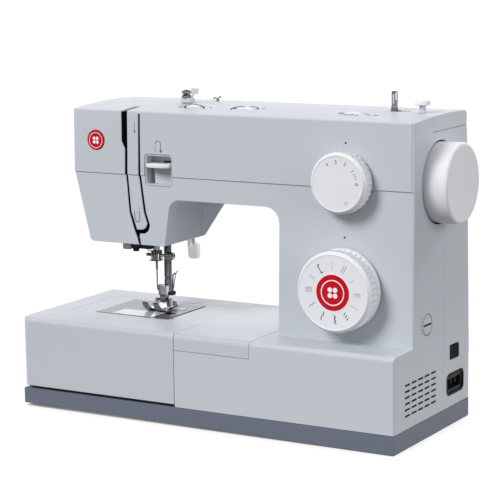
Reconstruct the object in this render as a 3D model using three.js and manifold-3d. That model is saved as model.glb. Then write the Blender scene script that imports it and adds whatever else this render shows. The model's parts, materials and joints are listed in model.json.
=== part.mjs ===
// A free-arm household sewing machine, in millimetres, +Z up.
// The pieces are placed from the front left corner of the base: x runs to the right, y to the back, z up.
// The outer group then moves the origin to the middle of the resting face.
import * as THREE from "three";
import { mergeVertices } from "three/addons/utils/BufferGeometryUtils.js";
import Module from "manifold-3d";

// ---------------------------------------------------------------- driving dimensions
const BASE_LENGTH = 382; // left to right, without the handwheel
const BASE_DEPTH = 154.6; // front to back
const BASE_TOP = 17;
const BASE_UNDERSIDE = { left: 2.6, right: 0.4 }; // height of the base's lower edge above the table top
const BED_TOP = 84;
const WALL = 2.6; // casing thickness
const GAP = 0.3; // clearance between neighbouring pieces
const CORNER = 2; // radius of the casing's upright corners

const COLUMN_LEFT = 251.6;
const ARM_UNDERSIDE = 196.5;
const HEAD_LEFT = 36;
const HEAD_RIGHT = 134;
const HEAD_UNDERSIDE = 153.5;
const COVER_SEAM = 217; // joint between the top cover and the lower shells, at the front
const SIDE_SEAM = 264; // the same joint at the right end and the back
const SHELL_SEAM = 100; // joint between the front and the rear shell
const FRONT_FOOT = 36.9; // front face of the column, at bed height
const FRONT_LEAN = 0.0194; // how far that face leans back, per mm of height
const COVER_LIP = 0.8; // the cover stands this far in front of the lower shell
const CROWN_TOP = 278.2;
const CROWN_MIDDLE = 108;
const CROWN_RADIUS = 680;

const TABLE_RIGHT = 165.9; // joint between the extension table and the body
const FREE_ARM = { left: 22, front: 43.7, back: 124, underside: 31 };

const SHAFT = { y: 91, z: 220 }; // main shaft, which the handwheel sits on
const LOWER_SHAFT = { y: 85, z: 50 };
const MOTOR = { y: 70, z: 52 };
const HANDWHEEL_RADIUS = 35;
const HANDWHEEL_RIGHT = 403.7;
const MOTOR_PULLEY_RADIUS = 6;
const DRIVE_PULLEY_RADIUS = 30;
const TIMING_PULLEY_RADIUS = 14;

const NEEDLE = { x: 98.5, y: 80, tip: 103.4 };
const PRESSER = { x: 98.5, y: 99 };
const HOOK = { x: 87.5, y: 64, radius: 17.5 };

const PATTERN_DIAL = { x: 316.5, z: 130.7, radius: 35.5, face: 16.5, back: 37.2 };
const LENGTH_DIAL = { x: 317.5, z: 223, radius: 26.7, face: 23.6, back: 38.2 };
const THUMBWHEELS = { tension_wheel: 143, width_wheel: 198, position_wheel: 306 };
const THUMBWHEEL = { radius: 20, y: 77, thickness: 6, height: 1.2 };
const WINDER = { x: 333, y: 103, travel: 12.5 };
const HANDLE = { left: 150, right: 292, y: 150.5, z: 257, reach: 54 };

// ---------------------------------------------------------------- solids from three.js geometry
const wasm = await Module();
wasm.setup();

// Turns a closed geometry into a solid that can be cut and joined.
function solid(geometry) {
  const bare = geometry.clone();
  bare.deleteAttribute("normal");
  bare.deleteAttribute("uv");
  const merged = mergeVertices(bare, 1e-4);
  const faces = [];
  for (let i = 0; i < merged.index.count; i += 3) {
    const [a, b, c] = [0, 1, 2].map((k) => merged.index.getX(i + k));
    if (a !== b && b !== c && a !== c) faces.push([a, b, c]);
  }
  const build = (triangles) =>
    new wasm.Manifold(
      new wasm.Mesh({
        numProp: 3,
        vertProperties: new Float32Array(merged.attributes.position.array),
        triVerts: new Uint32Array(triangles.flat()),
      }),
    );
  const made = build(faces);
  return made.volume() < 0 ? build(faces.map(([a, b, c]) => [a, c, b])) : made;
}

const union = (first, ...rest) => rest.reduce((sum, next) => sum.add(next), first);

function box(x0, y0, z0, x1, y1, z1) {
  const geometry = new THREE.BoxGeometry(x1 - x0, y1 - y0, z1 - z0);
  return solid(geometry.translate((x0 + x1) / 2, (y0 + y1) / 2, (z0 + z1) / 2));
}

// An outline through corners [u, v, radius], given anticlockwise, with each radius drawn as an arc.
function outlinePoints(corners, step = 22.5) {
  const points = [];
  corners.forEach(([u, v, radius = 0], i) => {
    const corner = new THREE.Vector2(u, v);
    if (radius <= 0) {
      points.push(corner);
      return;
    }
    const before = new THREE.Vector2(...corners.at(i - 1)).sub(corner).normalize();
    const after = new THREE.Vector2(...corners[(i + 1) % corners.length]).sub(corner).normalize();
    const half = Math.acos(THREE.MathUtils.clamp(before.dot(after), -1, 1)) / 2;
    const start = corner.clone().addScaledVector(before, radius / Math.tan(half));
    const middle = before.clone().add(after).normalize();
    const centre = corner.clone().addScaledVector(middle, radius / Math.sin(half));
    const turn = Math.PI - 2 * half;
    const way = Math.sign(after.cross(before));
    const count = Math.max(1, Math.round(THREE.MathUtils.radToDeg(turn) / step));
    for (let k = 0; k <= count; k++) {
      points.push(start.clone().rotateAround(centre, (way * turn * k) / count));
    }
  });
  return points;
}

// The same corners with every edge moved inwards by a distance.
function inset(corners, distance) {
  const at = (i) => new THREE.Vector2(...corners.at(i % corners.length));
  return corners.map(([u, v, radius = 0], i) => {
    const here = new THREE.Vector2(u, v);
    const into = here.clone().sub(at(i - 1)).normalize();
    const out = at(i + 1).sub(here).normalize();
    const normals = [into, out].map((edge) => new THREE.Vector2(-edge.y, edge.x));
    const shift = normals[0].clone().add(normals[1]);
    shift.multiplyScalar(distance / (1 + normals[0].dot(normals[1])));
    const convex = into.cross(out) > 0;
    const rounded = radius > 0 ? Math.max(radius + (convex ? -distance : distance), 0) : 0;
    return [u + shift.x, v + shift.y, rounded];
  });
}

const X = new THREE.Vector3(1, 0, 0);
const Y = new THREE.Vector3(0, 1, 0);
const Z = new THREE.Vector3(0, 0, 1);

// Extrudes an outline along an axis between two places. The outline is in (y, z), (x, z) or (x, y).
function prism(axis, points, from, to) {
  const geometry = new THREE.ExtrudeGeometry(new THREE.Shape(points), {
    depth: to - from,
    bevelEnabled: false,
  });
  const turns = {
    X: new THREE.Matrix4().makeBasis(Y, Z, X).setPosition(from, 0, 0),
    Y: new THREE.Matrix4().makeBasis(X, Z, Y.clone().negate()).setPosition(0, to, 0),
    Z: new THREE.Matrix4().setPosition(0, 0, from),
  };
  return solid(geometry.applyMatrix4(turns[axis]));
}

const roundedPrism = (axis, corners, from, to, step) =>
  prism(axis, outlinePoints(corners, step), from, to);

// Turns a profile of [radius, height] pairs about an axis through a point, heights along the axis.
function turned(axis, centre, profile, segments = 16) {
  const points = profile.map(([radius, height]) => new THREE.Vector2(radius, height));
  const geometry = new THREE.LatheGeometry(points, segments);
  const turns = {
    X: new THREE.Matrix4().makeBasis(Y, X, Z.clone().negate()),
    Y: new THREE.Matrix4(),
    Z: new THREE.Matrix4().makeBasis(X, Z, Y.clone().negate()),
  };
  return solid(geometry.applyMatrix4(turns[axis]).translate(...centre));
}

// A plain round bar along an axis, from one place on it to another.
function bar(axis, u, v, radius, from, to, segments = 16) {
  const centre = { X: [0, u, v], Y: [u, 0, v], Z: [u, v, 0] }[axis];
  const profile = [[0, from], [radius, from], [radius, to], [0, to]];
  return turned(axis, centre, profile, segments);
}

// A round outline whose edge carries shallow flutes.
function flutedOutline(u, v, radius, count, depth) {
  const points = [];
  for (let i = 0; i < count * 2; i++) {
    const angle = (i * Math.PI) / count;
    const reach = i % 2 ? radius - depth : radius;
    points.push(new THREE.Vector2(u + reach * Math.cos(angle), v + reach * Math.sin(angle)));
  }
  return points;
}

// The closed outline of a belt that runs round two pulleys, each { u, v, radius }.
function beltOutline(first, second) {
  const heading = Math.atan2(second.v - first.v, second.u - first.u);
  const distance = Math.hypot(second.u - first.u, second.v - first.v);
  const spread = Math.acos((first.radius - second.radius) / distance);
  const arc = (pulley, start, end) =>
    Array.from({ length: 10 }, (_, i) => {
      const angle = heading + start + ((end - start) * i) / 9;
      return new THREE.Vector2(
        pulley.u + pulley.radius * Math.cos(angle),
        pulley.v + pulley.radius * Math.sin(angle),
      );
    });
  return [...arc(second, -spread, spread), ...arc(first, spread, 2 * Math.PI - spread)];
}

// ---------------------------------------------------------------- materials
const finish = (color, roughness, metalness = 0) =>
  new THREE.MeshStandardMaterial({ color, roughness, metalness, flatShading: true });
const casingGrey = finish(0xbcc1c8, 0.5);
const bedGrey = finish(0xd8dae0, 0.45);
const baseSlate = finish(0x686f7e, 0.6);
const knobWhite = finish(0xe6e6ea, 0.4);
const signalRed = finish(0xd40018, 0.35);
const black = finish(0x17181a, 0.5);
const rubber = finish(0x2b2c2e, 0.9);
const steel = finish(0xb8bac0, 0.3, 1);
const castAlloy = finish(0x8d9196, 0.55, 0.8);
const clear = new THREE.MeshStandardMaterial({ color: 0xe8edf0, transparent: true, opacity: 0.4 });

// ---------------------------------------------------------------- the scene graph
const machine = new THREE.Group();
machine.position.set(-HANDWHEEL_RIGHT / 2, -BASE_DEPTH / 2, 0);

// Adds a solid as a named mesh whose own origin is the given pivot.
function add(name, made, material, parent = machine, pivot = [0, 0, 0]) {
  const { numProp, vertProperties, triVerts } = made.getMesh();
  const geometry = new THREE.BufferGeometry();
  geometry.setAttribute("position", new THREE.BufferAttribute(vertProperties, numProp));
  geometry.setIndex(new THREE.BufferAttribute(triVerts, 1));
  geometry.translate(-pivot[0], -pivot[1], -pivot[2]);
  geometry.computeVertexNormals();
  const mesh = new THREE.Mesh(geometry, material);
  mesh.name = name;
  mesh.position.set(...pivot);
  parent.add(mesh);
  return mesh;
}

const FAR = 500; // beyond every face, for cutting regions

// ---------------------------------------------------------------- casing volumes
const frontAt = (z) => FRONT_FOOT + FRONT_LEAN * (z - BED_TOP);

// Column, arm and head seen from the front, as (x, z).
const frontCorners = [
  [BASE_LENGTH, 60],
  [BASE_LENGTH, 290],
  [HEAD_LEFT, 290],
  [HEAD_LEFT, COVER_SEAM],
  [HEAD_LEFT + 1, COVER_SEAM],
  [53.4, HEAD_UNDERSIDE, 4],
  [HEAD_RIGHT, HEAD_UNDERSIDE, 1.5],
  [139.9, ARM_UNDERSIDE, 11],
  [COLUMN_LEFT + 1, ARM_UNDERSIDE, 14],
  [COLUMN_LEFT, 60],
];

// Column and arm seen from the right end, as (y, z), with the gently crowned top.
function sideCorners(setBack) {
  const crown = [];
  for (let y = 142; y >= 46; y -= 16) {
    crown.push([y, CROWN_TOP - (y - CROWN_MIDDLE) ** 2 / (2 * CROWN_RADIUS)]);
  }
  return [
    [frontAt(60) + setBack, 60],
    [BASE_DEPTH, 60],
    [BASE_DEPTH, BED_TOP],
    [150, 230],
    [146.7, 262],
    [146.7, 276.6, 5],
    ...crown,
    [frontAt(274.9) + setBack, 274.9, 1.5],
  ];
}

// An upright block over a plan outline, sheared so that its walls lean in y with height.
function leaningPlan(corners, lean) {
  const shape = new THREE.Shape(outlinePoints(corners));
  const geometry = new THREE.ExtrudeGeometry(shape, { depth: 300, bevelEnabled: false });
  const shear = new THREE.Matrix4().makeShear(0, 0, 0, 0, 0, lean);
  return solid(geometry.translate(0, 0, -BED_TOP).applyMatrix4(shear).translate(0, 0, BED_TOP));
}

// The column, arm and head as one block, drawn in by a distance and set back at the front.
function bodyVolume(distance, setBack) {
  const left = HEAD_LEFT + distance;
  const right = BASE_LENGTH - distance;
  const front = FRONT_FOOT + setBack + distance;
  const back = BASE_DEPTH - distance;
  const corner = Math.max(CORNER - distance, 0.5);
  const frontPlan = [[left, FAR], [left, front, corner], [right, front, corner], [right, FAR]];
  const backPlan = [[left, -FAR], [right, -FAR], [right, back, corner], [left, back, corner]];
  const chamferLift = 1.32 * distance;
  const behindNeedle = [[108.5, 100], [170, 100], [170, 206 + chamferLift], [108.5, 153.4 + chamferLift]];
  return roundedPrism("X", inset(sideCorners(setBack), distance), -10, 390)
    .intersect(roundedPrism("Y", inset(frontCorners, distance), -10, 170))
    .intersect(leaningPlan(frontPlan, FRONT_LEAN))
    .intersect(leaningPlan(backPlan, -0.0315))
    .subtract(roundedPrism("X", behindNeedle, -10, 145));
}

// The bed: the block under the column and the free arm that reaches left from it.
const BLOCK_LEFT = TABLE_RIGHT + GAP + 0.1;
const blockPlan = [
  [BLOCK_LEFT, 0],
  [BASE_LENGTH, 0, CORNER],
  [BASE_LENGTH, BASE_DEPTH, CORNER],
  [BLOCK_LEFT + 2.8, BASE_DEPTH],
  [BLOCK_LEFT + 2.8, FREE_ARM.back],
  [BLOCK_LEFT, FREE_ARM.back],
];
const bedSide = [
  [0, BASE_TOP + GAP],
  [BASE_DEPTH, BASE_TOP + GAP],
  [BASE_DEPTH, BED_TOP, 5],
  [0, BED_TOP, 5],
];
const freeArmPlan = [
  [FREE_ARM.left, FREE_ARM.front, 7.7],
  [BLOCK_LEFT + 12, FREE_ARM.front],
  [BLOCK_LEFT + 12, FREE_ARM.back],
  [FREE_ARM.left, FREE_ARM.back, 7.7],
];
function bedVolume(distance) {
  const block = roundedPrism("Z", inset(blockPlan, distance), 0, FAR).intersect(
    roundedPrism("X", inset(bedSide, distance), 0, FAR),
  );
  const arm = inset(freeArmPlan, distance);
  return block.add(roundedPrism("Z", arm, FREE_ARM.underside + distance, BED_TOP - distance));
}

// Hollow casings, still in one piece. The inside volumes open into each other.
const insideVolume = bodyVolume(WALL, COVER_LIP)
  .add(bedVolume(WALL))
  .add(box(180, 20, 0, BASE_LENGTH - WALL - 3, 135, BASE_TOP + 5));
const COVER_END = BASE_LENGTH - WALL + 0.1; // the cover's front stops just short of the right end
const cornerPost = bodyVolume(0, 0).intersect(box(COVER_END, -10, COVER_SEAM, FAR, SHELL_SEAM, FAR));
const lowerCasing = union(bodyVolume(0, COVER_LIP), cornerPost, bedVolume(0)).subtract(insideVolume);
const upperCasing = bodyVolume(0, 0).subtract(insideVolume);

// ---------------------------------------------------------------- seams between the casing pieces
const coverRegion = (grow) =>
  box(-10, -10, COVER_SEAM - grow, COVER_END + grow, SHELL_SEAM, FAR).add(
    box(-10, 77 - grow, SIDE_SEAM - grow, FAR, FAR, FAR),
  );
const bedCoverRegion = (grow) =>
  box(0, -10, BED_TOP - WALL - grow, 243 + grow, FAR, BED_TOP + 5).add(
    box(BLOCK_LEFT - 1, -10, 69 - grow, 243 + grow, WALL + grow, BED_TOP + 5),
  );
const freeArmRegion = (grow) => box(0, 30, 20, TABLE_RIGHT + grow, 130, BED_TOP + 5);
const facePlateRegion = (grow) => box(30, 56 - grow, 163 - grow, 60, 134 + grow, 210 + grow);

// ---------------------------------------------------------------- openings in the casings
// The thread path: a wide slot for the take-up lever, which narrows and runs down to the needle,
// and a second channel beside it that hooks round at the bottom.
const takeUpSlot = [
  [89, 300],
  [89, 247.5],
  [92.6, 240.5],
  [92.3, COVER_SEAM],
  [95, COVER_SEAM],
  [95.3, 240.5],
  [95.3, 300],
];
const lowerThreadSlot = [
  [92.9, COVER_SEAM + 2],
  [96.2, 183],
  [101.4, 166.8],
  [104.4, 160],
  [107.3, 150],
  [109.7, 150],
  [107.2, 160.4],
  [107.6, 163.6],
  [112.6, 164],
  [116.6, 166.6],
  [118.4, 172.2],
  [114.2, 183.6],
  [109, COVER_SEAM + 2],
  [106.8, COVER_SEAM + 2],
  [111.6, 184],
  [115.4, 173.4],
  [113.8, 169.6],
  [110.8, 167.6],
  [104.4, 167.2],
  [98.4, 183.6],
  [95, COVER_SEAM + 2],
];
const rightThreadSlot = [
  [106.8, COVER_SEAM - 1],
  [109, COVER_SEAM - 1],
  [109, 272.5],
  [107.2, 272.5],
];
const slotPrism = (corners, from, to) => roundedPrism("Y", corners, from, to);
const threadSlots = union(
  slotPrism(takeUpSlot, 20, 66),
  slotPrism(rightThreadSlot, 20, 51),
  slotPrism(lowerThreadSlot.toReversed(), 20, 51),
);
const threadPad = (from, to, right) => box(84, frontAt(from) + WALL, from, right, 56, to);

const REVERSE = { left: 115, right: 141.7, bottom: 209.6, top: 235.2, floor: 52 };
const reverseCorners = [
  [REVERSE.left, REVERSE.bottom, 2.5],
  [REVERSE.right, REVERSE.bottom, 2.5],
  [REVERSE.right, REVERSE.top, 2.5],
  [REVERSE.left, REVERSE.top, 2.5],
];
const reverseOpening = roundedPrism("Y", inset(reverseCorners, -1.2 - GAP), 20, 58);

const thumbwheelSlots = union(
  ...Object.values(THUMBWHEELS).map((x) => box(x - 13.8, 72.9, 262, x + 13.8, 81.1, 290)),
);
const winderSlot = roundedPrism(
  "Z",
  [
    [WINDER.x - 3.8, WINDER.y - 3.8, 3.7],
    [WINDER.x + WINDER.travel + 3.8, WINDER.y - 3.8, 3.7],
    [WINDER.x + WINDER.travel + 3.8, WINDER.y + 3.8, 3.7],
    [WINDER.x - 3.8, WINDER.y + 3.8, 3.7],
  ],
  268,
  290,
);
const STOP = { x: 363, y: 96 };
const GUIDE = { x: 124, y: 97 };
const REAR_GUIDE = { x: 140, y: 126 };
const topHoles = union(
  thumbwheelSlots,
  winderSlot,
  bar("Z", STOP.x, STOP.y, 3.6, 265, 290),
  bar("Z", GUIDE.x, GUIDE.y, 3.1, 265, 290),
  bar("Z", REAR_GUIDE.x, REAR_GUIDE.y, 2.1, 265, 290, 16),
);

// Five columns of six cooling slots in the right end.
const VENTS = { columns: 5, rows: 6, y: 26.8, z: 29, pitchY: 13, pitchZ: 5.3, length: 10, height: 2 };
const vents = union(
  ...Array.from({ length: VENTS.columns * VENTS.rows }, (_, i) => {
    const y = VENTS.y + VENTS.pitchY * (i % VENTS.columns);
    const z = VENTS.z + VENTS.pitchZ * Math.floor(i / VENTS.columns);
    const [reach, rise] = [VENTS.length / 2, VENTS.height / 2];
    return box(370, y - reach, z - rise, 390, y + reach, z + rise);
  }),
);
const ADJUSTER = { y: 65.6, z: 100, radius: 9 };
const SWITCH = { y: 121.5, z: 65.8, length: 17, height: 12.4 };
const INLET_CORNER = 5.5;
const inletCorners = [
  [106, 27.5, INLET_CORNER],
  [142.5, 27.5, INLET_CORNER],
  [142.5, 47, INLET_CORNER],
  [106, 47, INLET_CORNER],
];
const endHoles = union(
  bar("X", SHAFT.y, SHAFT.z, HANDWHEEL_RADIUS + 1.3, 376, 390, 40),
  bar("X", ADJUSTER.y, ADJUSTER.z, ADJUSTER.radius + GAP, 376, 390, 24),
  box(370, SWITCH.y - 9.3, SWITCH.z - 6.9, 390, SWITCH.y + 9.3, SWITCH.z + 6.9),
  roundedPrism("X", inset(inletCorners, -GAP), 376, 390),
  vents,
);

const dialHoles = union(
  bar("Y", PATTERN_DIAL.x, PATTERN_DIAL.z, 5.4, 20, 50),
  bar("Y", LENGTH_DIAL.x, LENGTH_DIAL.z, 4.4, 20, 50),
);
const BADGE = { x: 61.2, z: 246.9, radius: 9 };
const badgeSeat = bar("Y", BADGE.x, BADGE.z, BADGE.radius + GAP, 20, 41, 32);
const needleOpening = box(64, 62, 145, 113, 108, 160);
const LIFTER = { x: 103.5, y: 118, z: 172 };
const lifterSlot = box(98.6, 112, 150, 108.6, 136, 180);

// The carrying handle lies in a shallow recess between two ears on the back.
const recessBottom = HANDLE.z - HANDLE.reach - 4;
const handleRecess = box(HANDLE.left - GAP, 146.7, recessBottom, HANDLE.right + GAP, FAR, SIDE_SEAM);
const ear = (from, to) => box(from, 143, HANDLE.z - 8, to, 154.4, HANDLE.z + 6.4);
const handleEars = ear(HANDLE.left - 12, HANDLE.left - GAP).add(ear(HANDLE.right + GAP, HANDLE.right + 12));
const handlePinHoles = bar("X", HANDLE.y, HANDLE.z, 2.8, HANDLE.left - 7, HANDLE.right + 7, 16);
const SPOOL_PIN = { x: 318, y: 150.6, radius: 2.4, bottom: 212, top: 268 };
const spoolBoss = roundedPrism(
  "Z",
  [
    [SPOOL_PIN.x - 6, 145],
    [SPOOL_PIN.x + 6, 145],
    [SPOOL_PIN.x + 6, 154.4, 3],
    [SPOOL_PIN.x - 6, 154.4, 3],
  ],
  206,
  262,
);
const spoolHole = bar("Z", SPOOL_PIN.x, SPOOL_PIN.y, SPOOL_PIN.radius + GAP, 209, 270, 16);

// ---------------------------------------------------------------- casing pieces
const frontHalf = box(-10, -10, 0, FAR, SHELL_SEAM - GAP / 2, FAR);
const rearHalf = box(-10, SHELL_SEAM + GAP / 2, 0, FAR, FAR, FAR);
const otherRegions = union(coverRegion(GAP), bedCoverRegion(GAP), freeArmRegion(GAP), facePlateRegion(GAP));

const frontShell = lowerCasing
  .intersect(frontHalf)
  .subtract(otherRegions)
  .add(threadPad(162, 200, 122))
  .add(threadPad(200, COVER_SEAM - GAP, 116))
  .subtract(union(threadSlots, reverseOpening, endHoles, dialHoles, needleOpening));
add("front_shell", frontShell, casingGrey);

const rearShell = lowerCasing
  .intersect(rearHalf)
  .subtract(otherRegions)
  .add(box(HANDLE.left - 5, 143.6, recessBottom - 4, HANDLE.right + 5, 149, SIDE_SEAM - GAP))
  .add(handleEars)
  .add(spoolBoss)
  .subtract(union(handleRecess, handlePinHoles, spoolHole, endHoles, lifterSlot, needleOpening));
add("rear_shell", rearShell, casingGrey);

const upperCover = upperCasing
  .intersect(coverRegion(0))
  .add(threadPad(COVER_SEAM, 266, 116))
  .subtract(union(threadSlots, reverseOpening, endHoles, dialHoles, badgeSeat, topHoles));
add("upper_cover", upperCover, casingGrey);

add("face_plate", lowerCasing.intersect(facePlateRegion(0)), casingGrey);

const bedPlateOpening = box(48.6, 49.6, 70, 129, 117.4, 90);
const fingerNotch = box(129.8, 52, 70, 133.6, 56, 90);
const bedCover = lowerCasing.intersect(bedCoverRegion(0)).subtract(bedPlateOpening.add(fingerNotch));
add("bed_cover", bedCover, bedGrey);
add("free_arm_shell", lowerCasing.intersect(freeArmRegion(0)).subtract(bedCoverRegion(GAP)), casingGrey);

// ---------------------------------------------------------------- base and feet
const BASE_CORNER = 1.5;
const BASE_WALL = 3;
const basePlan = [
  [0, 0, BASE_CORNER],
  [BASE_LENGTH, 0, BASE_CORNER],
  [BASE_LENGTH, BASE_DEPTH, BASE_CORNER],
  [0, BASE_DEPTH, BASE_CORNER],
];
const FOOT = { radius: 10, inset: 24, top: 4.2 };
const footPlaces = {
  foot_front_left: [FOOT.inset, FOOT.inset],
  foot_front_right: [BASE_LENGTH - FOOT.inset, FOOT.inset],
  foot_rear_left: [FOOT.inset, BASE_DEPTH - FOOT.inset],
  foot_rear_right: [BASE_LENGTH - FOOT.inset, BASE_DEPTH - FOOT.inset],
};
const footSeats = union(
  ...Object.values(footPlaces).map(([x, y]) => bar("Z", x, y, FOOT.radius + GAP, 0, FOOT.top + GAP)),
);
const footBosses = union(
  ...Object.values(footPlaces).map(([x, y]) => bar("Z", x, y, FOOT.radius + 3, 1, BASE_TOP - 2)),
);
const belowBase = roundedPrism(
  "Y",
  [
    [0, -1],
    [BASE_LENGTH, -1],
    [BASE_LENGTH, BASE_UNDERSIDE.right],
    [0, BASE_UNDERSIDE.left],
  ],
  -1,
  BASE_DEPTH + 1,
);
const underTable = box(BASE_WALL, BASE_WALL, 0, 165, BASE_DEPTH - BASE_WALL, BASE_TOP - BASE_WALL);
const underBlock = box(170, BASE_WALL, 6, BASE_LENGTH - BASE_WALL, BASE_DEPTH - BASE_WALL, 30);
const baseTray = roundedPrism("Z", basePlan, 0, BASE_TOP)
  .subtract(union(belowBase, underBlock, underTable.subtract(footBosses)))
  .subtract(footSeats);
add("base_tray", baseTray, baseSlate);
for (const [name, [x, y]] of Object.entries(footPlaces)) {
  const profile = [[0, 0], [FOOT.radius - 1, 0], [FOOT.radius, 1], [FOOT.radius, FOOT.top], [0, FOOT.top]];
  add(name, turned("Z", [x, y, 0], profile), rubber, machine, [x, y, 0]);
}

// ---------------------------------------------------------------- extension table
const tablePlan = [
  [0, 0, 7],
  [TABLE_RIGHT, 0],
  [TABLE_RIGHT, FREE_ARM.front - GAP],
  [FREE_ARM.left - GAP, FREE_ARM.front - GAP, 8],
  [FREE_ARM.left - GAP, FREE_ARM.back + GAP, 8],
  [BLOCK_LEFT + 2.5, FREE_ARM.back + GAP],
  [BLOCK_LEFT + 2.5, BASE_DEPTH],
  [0, BASE_DEPTH, 7],
];
const TABLE_BOTTOM = 19.5;
const tableSide = [
  [0, TABLE_BOTTOM],
  [BASE_DEPTH, TABLE_BOTTOM],
  [BASE_DEPTH, BED_TOP, 5],
  [0, BED_TOP, 5],
];
function tableVolume(distance, bottom) {
  const skirt = box(-5, distance, 0, 200, BASE_DEPTH - distance, 40);
  const section = roundedPrism("X", inset(tableSide, distance), -5, 200).add(skirt);
  return roundedPrism("Z", inset(tablePlan, distance), bottom, BED_TOP).intersect(section);
}
const table = new THREE.Group();
machine.add(table);
add("extension_table", tableVolume(0, TABLE_BOTTOM).subtract(tableVolume(2.4, 0)), bedGrey, table);

// ---------------------------------------------------------------- cast frame inside the casing
const frameBody = union(
  box(76, 108, 200, 356, 132, 240),
  box(76, 108, 182, 120, 132, 266),
  box(276, 100, 6.4, 356, 132, 205),
  box(30, 104, 40, 300, 118, 72),
  box(86, 73, 183, 109, 110, 191),
  box(86, 73, 263, 109, 110, 267),
  box(130, 84, 212, 138, 110, 228),
  box(340, 84, 212, 348, 110, 228),
  box(118, 78, 43, 124, 106, 57),
  box(272, 78, 43, 278, 106, 57),
  box(58, 54, 58, 80.5, 106, 63),
  box(58, 54, 58, 104, 70.4, 63),
);
const frameHoles = union(
  bar("Z", NEEDLE.x, NEEDLE.y, 3.5, 165, 275),
  bar("Z", PRESSER.x, PRESSER.y, 3.8, 165, 275),
  bar("X", SHAFT.y, SHAFT.z, 4.3, 120, 360),
  bar("X", LOWER_SHAFT.y, LOWER_SHAFT.z, 4.3, 110, 285),
  bar("Z", HOOK.x, HOOK.y, 3.8, 50, 66),
);
add("main_frame", frameBody.subtract(frameHoles), castAlloy);

// ---------------------------------------------------------------- drive: handwheel, shafts, belts, motor
const handwheelPivot = [HANDWHEEL_RIGHT, SHAFT.y, SHAFT.z];
const SHAFT_RADIUS = 4;
const SHAFT_BORE = SHAFT_RADIUS + GAP;
const DRIVE_PULLEY = { left: 362, right: 374, flange: DRIVE_PULLEY_RADIUS + 1.6 };
const HANDWHEEL_LEFT = 377.5;
const HUB = { radius: 14, bottom: 380 };
const handwheelProfile = [
  [SHAFT_BORE, HUB.bottom],
  [SHAFT_BORE, DRIVE_PULLEY.left],
  [DRIVE_PULLEY.flange, DRIVE_PULLEY.left],
  [DRIVE_PULLEY.flange, DRIVE_PULLEY.left + 1.2],
  [DRIVE_PULLEY_RADIUS, DRIVE_PULLEY.left + 2.2],
  [DRIVE_PULLEY_RADIUS, DRIVE_PULLEY.right - 2.2],
  [DRIVE_PULLEY.flange, DRIVE_PULLEY.right - 1.2],
  [DRIVE_PULLEY.flange, DRIVE_PULLEY.right],
  [HUB.radius, DRIVE_PULLEY.right],
  [HUB.radius, HANDWHEEL_LEFT],
  [HANDWHEEL_RADIUS, HANDWHEEL_LEFT],
  [HANDWHEEL_RADIUS, HANDWHEEL_RIGHT - 3],
  [HANDWHEEL_RADIUS - 1, HANDWHEEL_RIGHT - 0.9],
  [HANDWHEEL_RADIUS - 3.4, HANDWHEEL_RIGHT],
  [0, HANDWHEEL_RIGHT],
  [0, HUB.bottom],
  [SHAFT_BORE, HUB.bottom],
];
const handwheel = turned("X", [0, SHAFT.y, SHAFT.z], handwheelProfile, 40);
add("handwheel", handwheel, knobWhite, machine, handwheelPivot);

const TIMING_PULLEY = { left: 261, right: 271 };
// The crank at the left end of the main shaft drives the needle bar and the take-up lever.
const upperShaft = union(
  bar("X", SHAFT.y, SHAFT.z, SHAFT_RADIUS, 108, HUB.bottom - 0.4),
  bar("X", SHAFT.y, SHAFT.z, 15.5, 106, 111, 20),
  bar("X", SHAFT.y, SHAFT.z, TIMING_PULLEY_RADIUS, TIMING_PULLEY.left, TIMING_PULLEY.right, 20),
);
add("upper_shaft", upperShaft, steel, machine, [106, SHAFT.y, SHAFT.z]);
const lowerAxis = [LOWER_SHAFT.y, LOWER_SHAFT.z];
const gearTeeth = flutedOutline(...lowerAxis, 13.6, 20, 1.4);
const lowerShaft = union(
  bar("X", ...lowerAxis, SHAFT_RADIUS, 78, 292),
  prism("X", gearTeeth, 81.5, 93.5),
  bar("X", ...lowerAxis, TIMING_PULLEY_RADIUS, TIMING_PULLEY.left, TIMING_PULLEY.right, 20),
);
add("lower_shaft", lowerShaft, steel, machine, [78, LOWER_SHAFT.y, LOWER_SHAFT.z]);

const motor = union(
  bar("X", MOTOR.y, MOTOR.z, 23, 300, 348, 20),
  bar("X", MOTOR.y, MOTOR.z, 9, 348, 352),
  box(306, MOTOR.y - 20, 6.4, 342, MOTOR.y + 20, MOTOR.z - 6),
);
const motorAxleHole = bar("X", MOTOR.y, MOTOR.z, 2.8, 340, 356);
add("motor", motor.subtract(motorAxleHole), black);
const motorPulley = bar("X", MOTOR.y, MOTOR.z, 2.4, 342, 373, 16).add(
  bar("X", MOTOR.y, MOTOR.z, MOTOR_PULLEY_RADIUS, 363, 373),
);
add("motor_pulley", motorPulley, steel, machine, [363, MOTOR.y, MOTOR.z]);

function belt(name, first, second, from, to) {
  const grown = (pulley, by) => ({ ...pulley, radius: pulley.radius + by });
  const outside = beltOutline(grown(first, 2.3), grown(second, 2.3));
  const inside = beltOutline(grown(first, 0.8), grown(second, 0.8));
  add(name, prism("X", outside, from, to).subtract(prism("X", inside, from - 1, to + 1)), rubber);
}
const pulley = (shaft, radius) => ({ u: shaft.y, v: shaft.z, radius });
belt("motor_belt", pulley(SHAFT, DRIVE_PULLEY_RADIUS), pulley(MOTOR, MOTOR_PULLEY_RADIUS), 364.8, 371.2);
const timingPulleys = [SHAFT, LOWER_SHAFT].map((shaft) => pulley(shaft, TIMING_PULLEY_RADIUS));
belt("timing_belt", ...timingPulleys, TIMING_PULLEY.left + 1, TIMING_PULLEY.right - 1);

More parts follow.
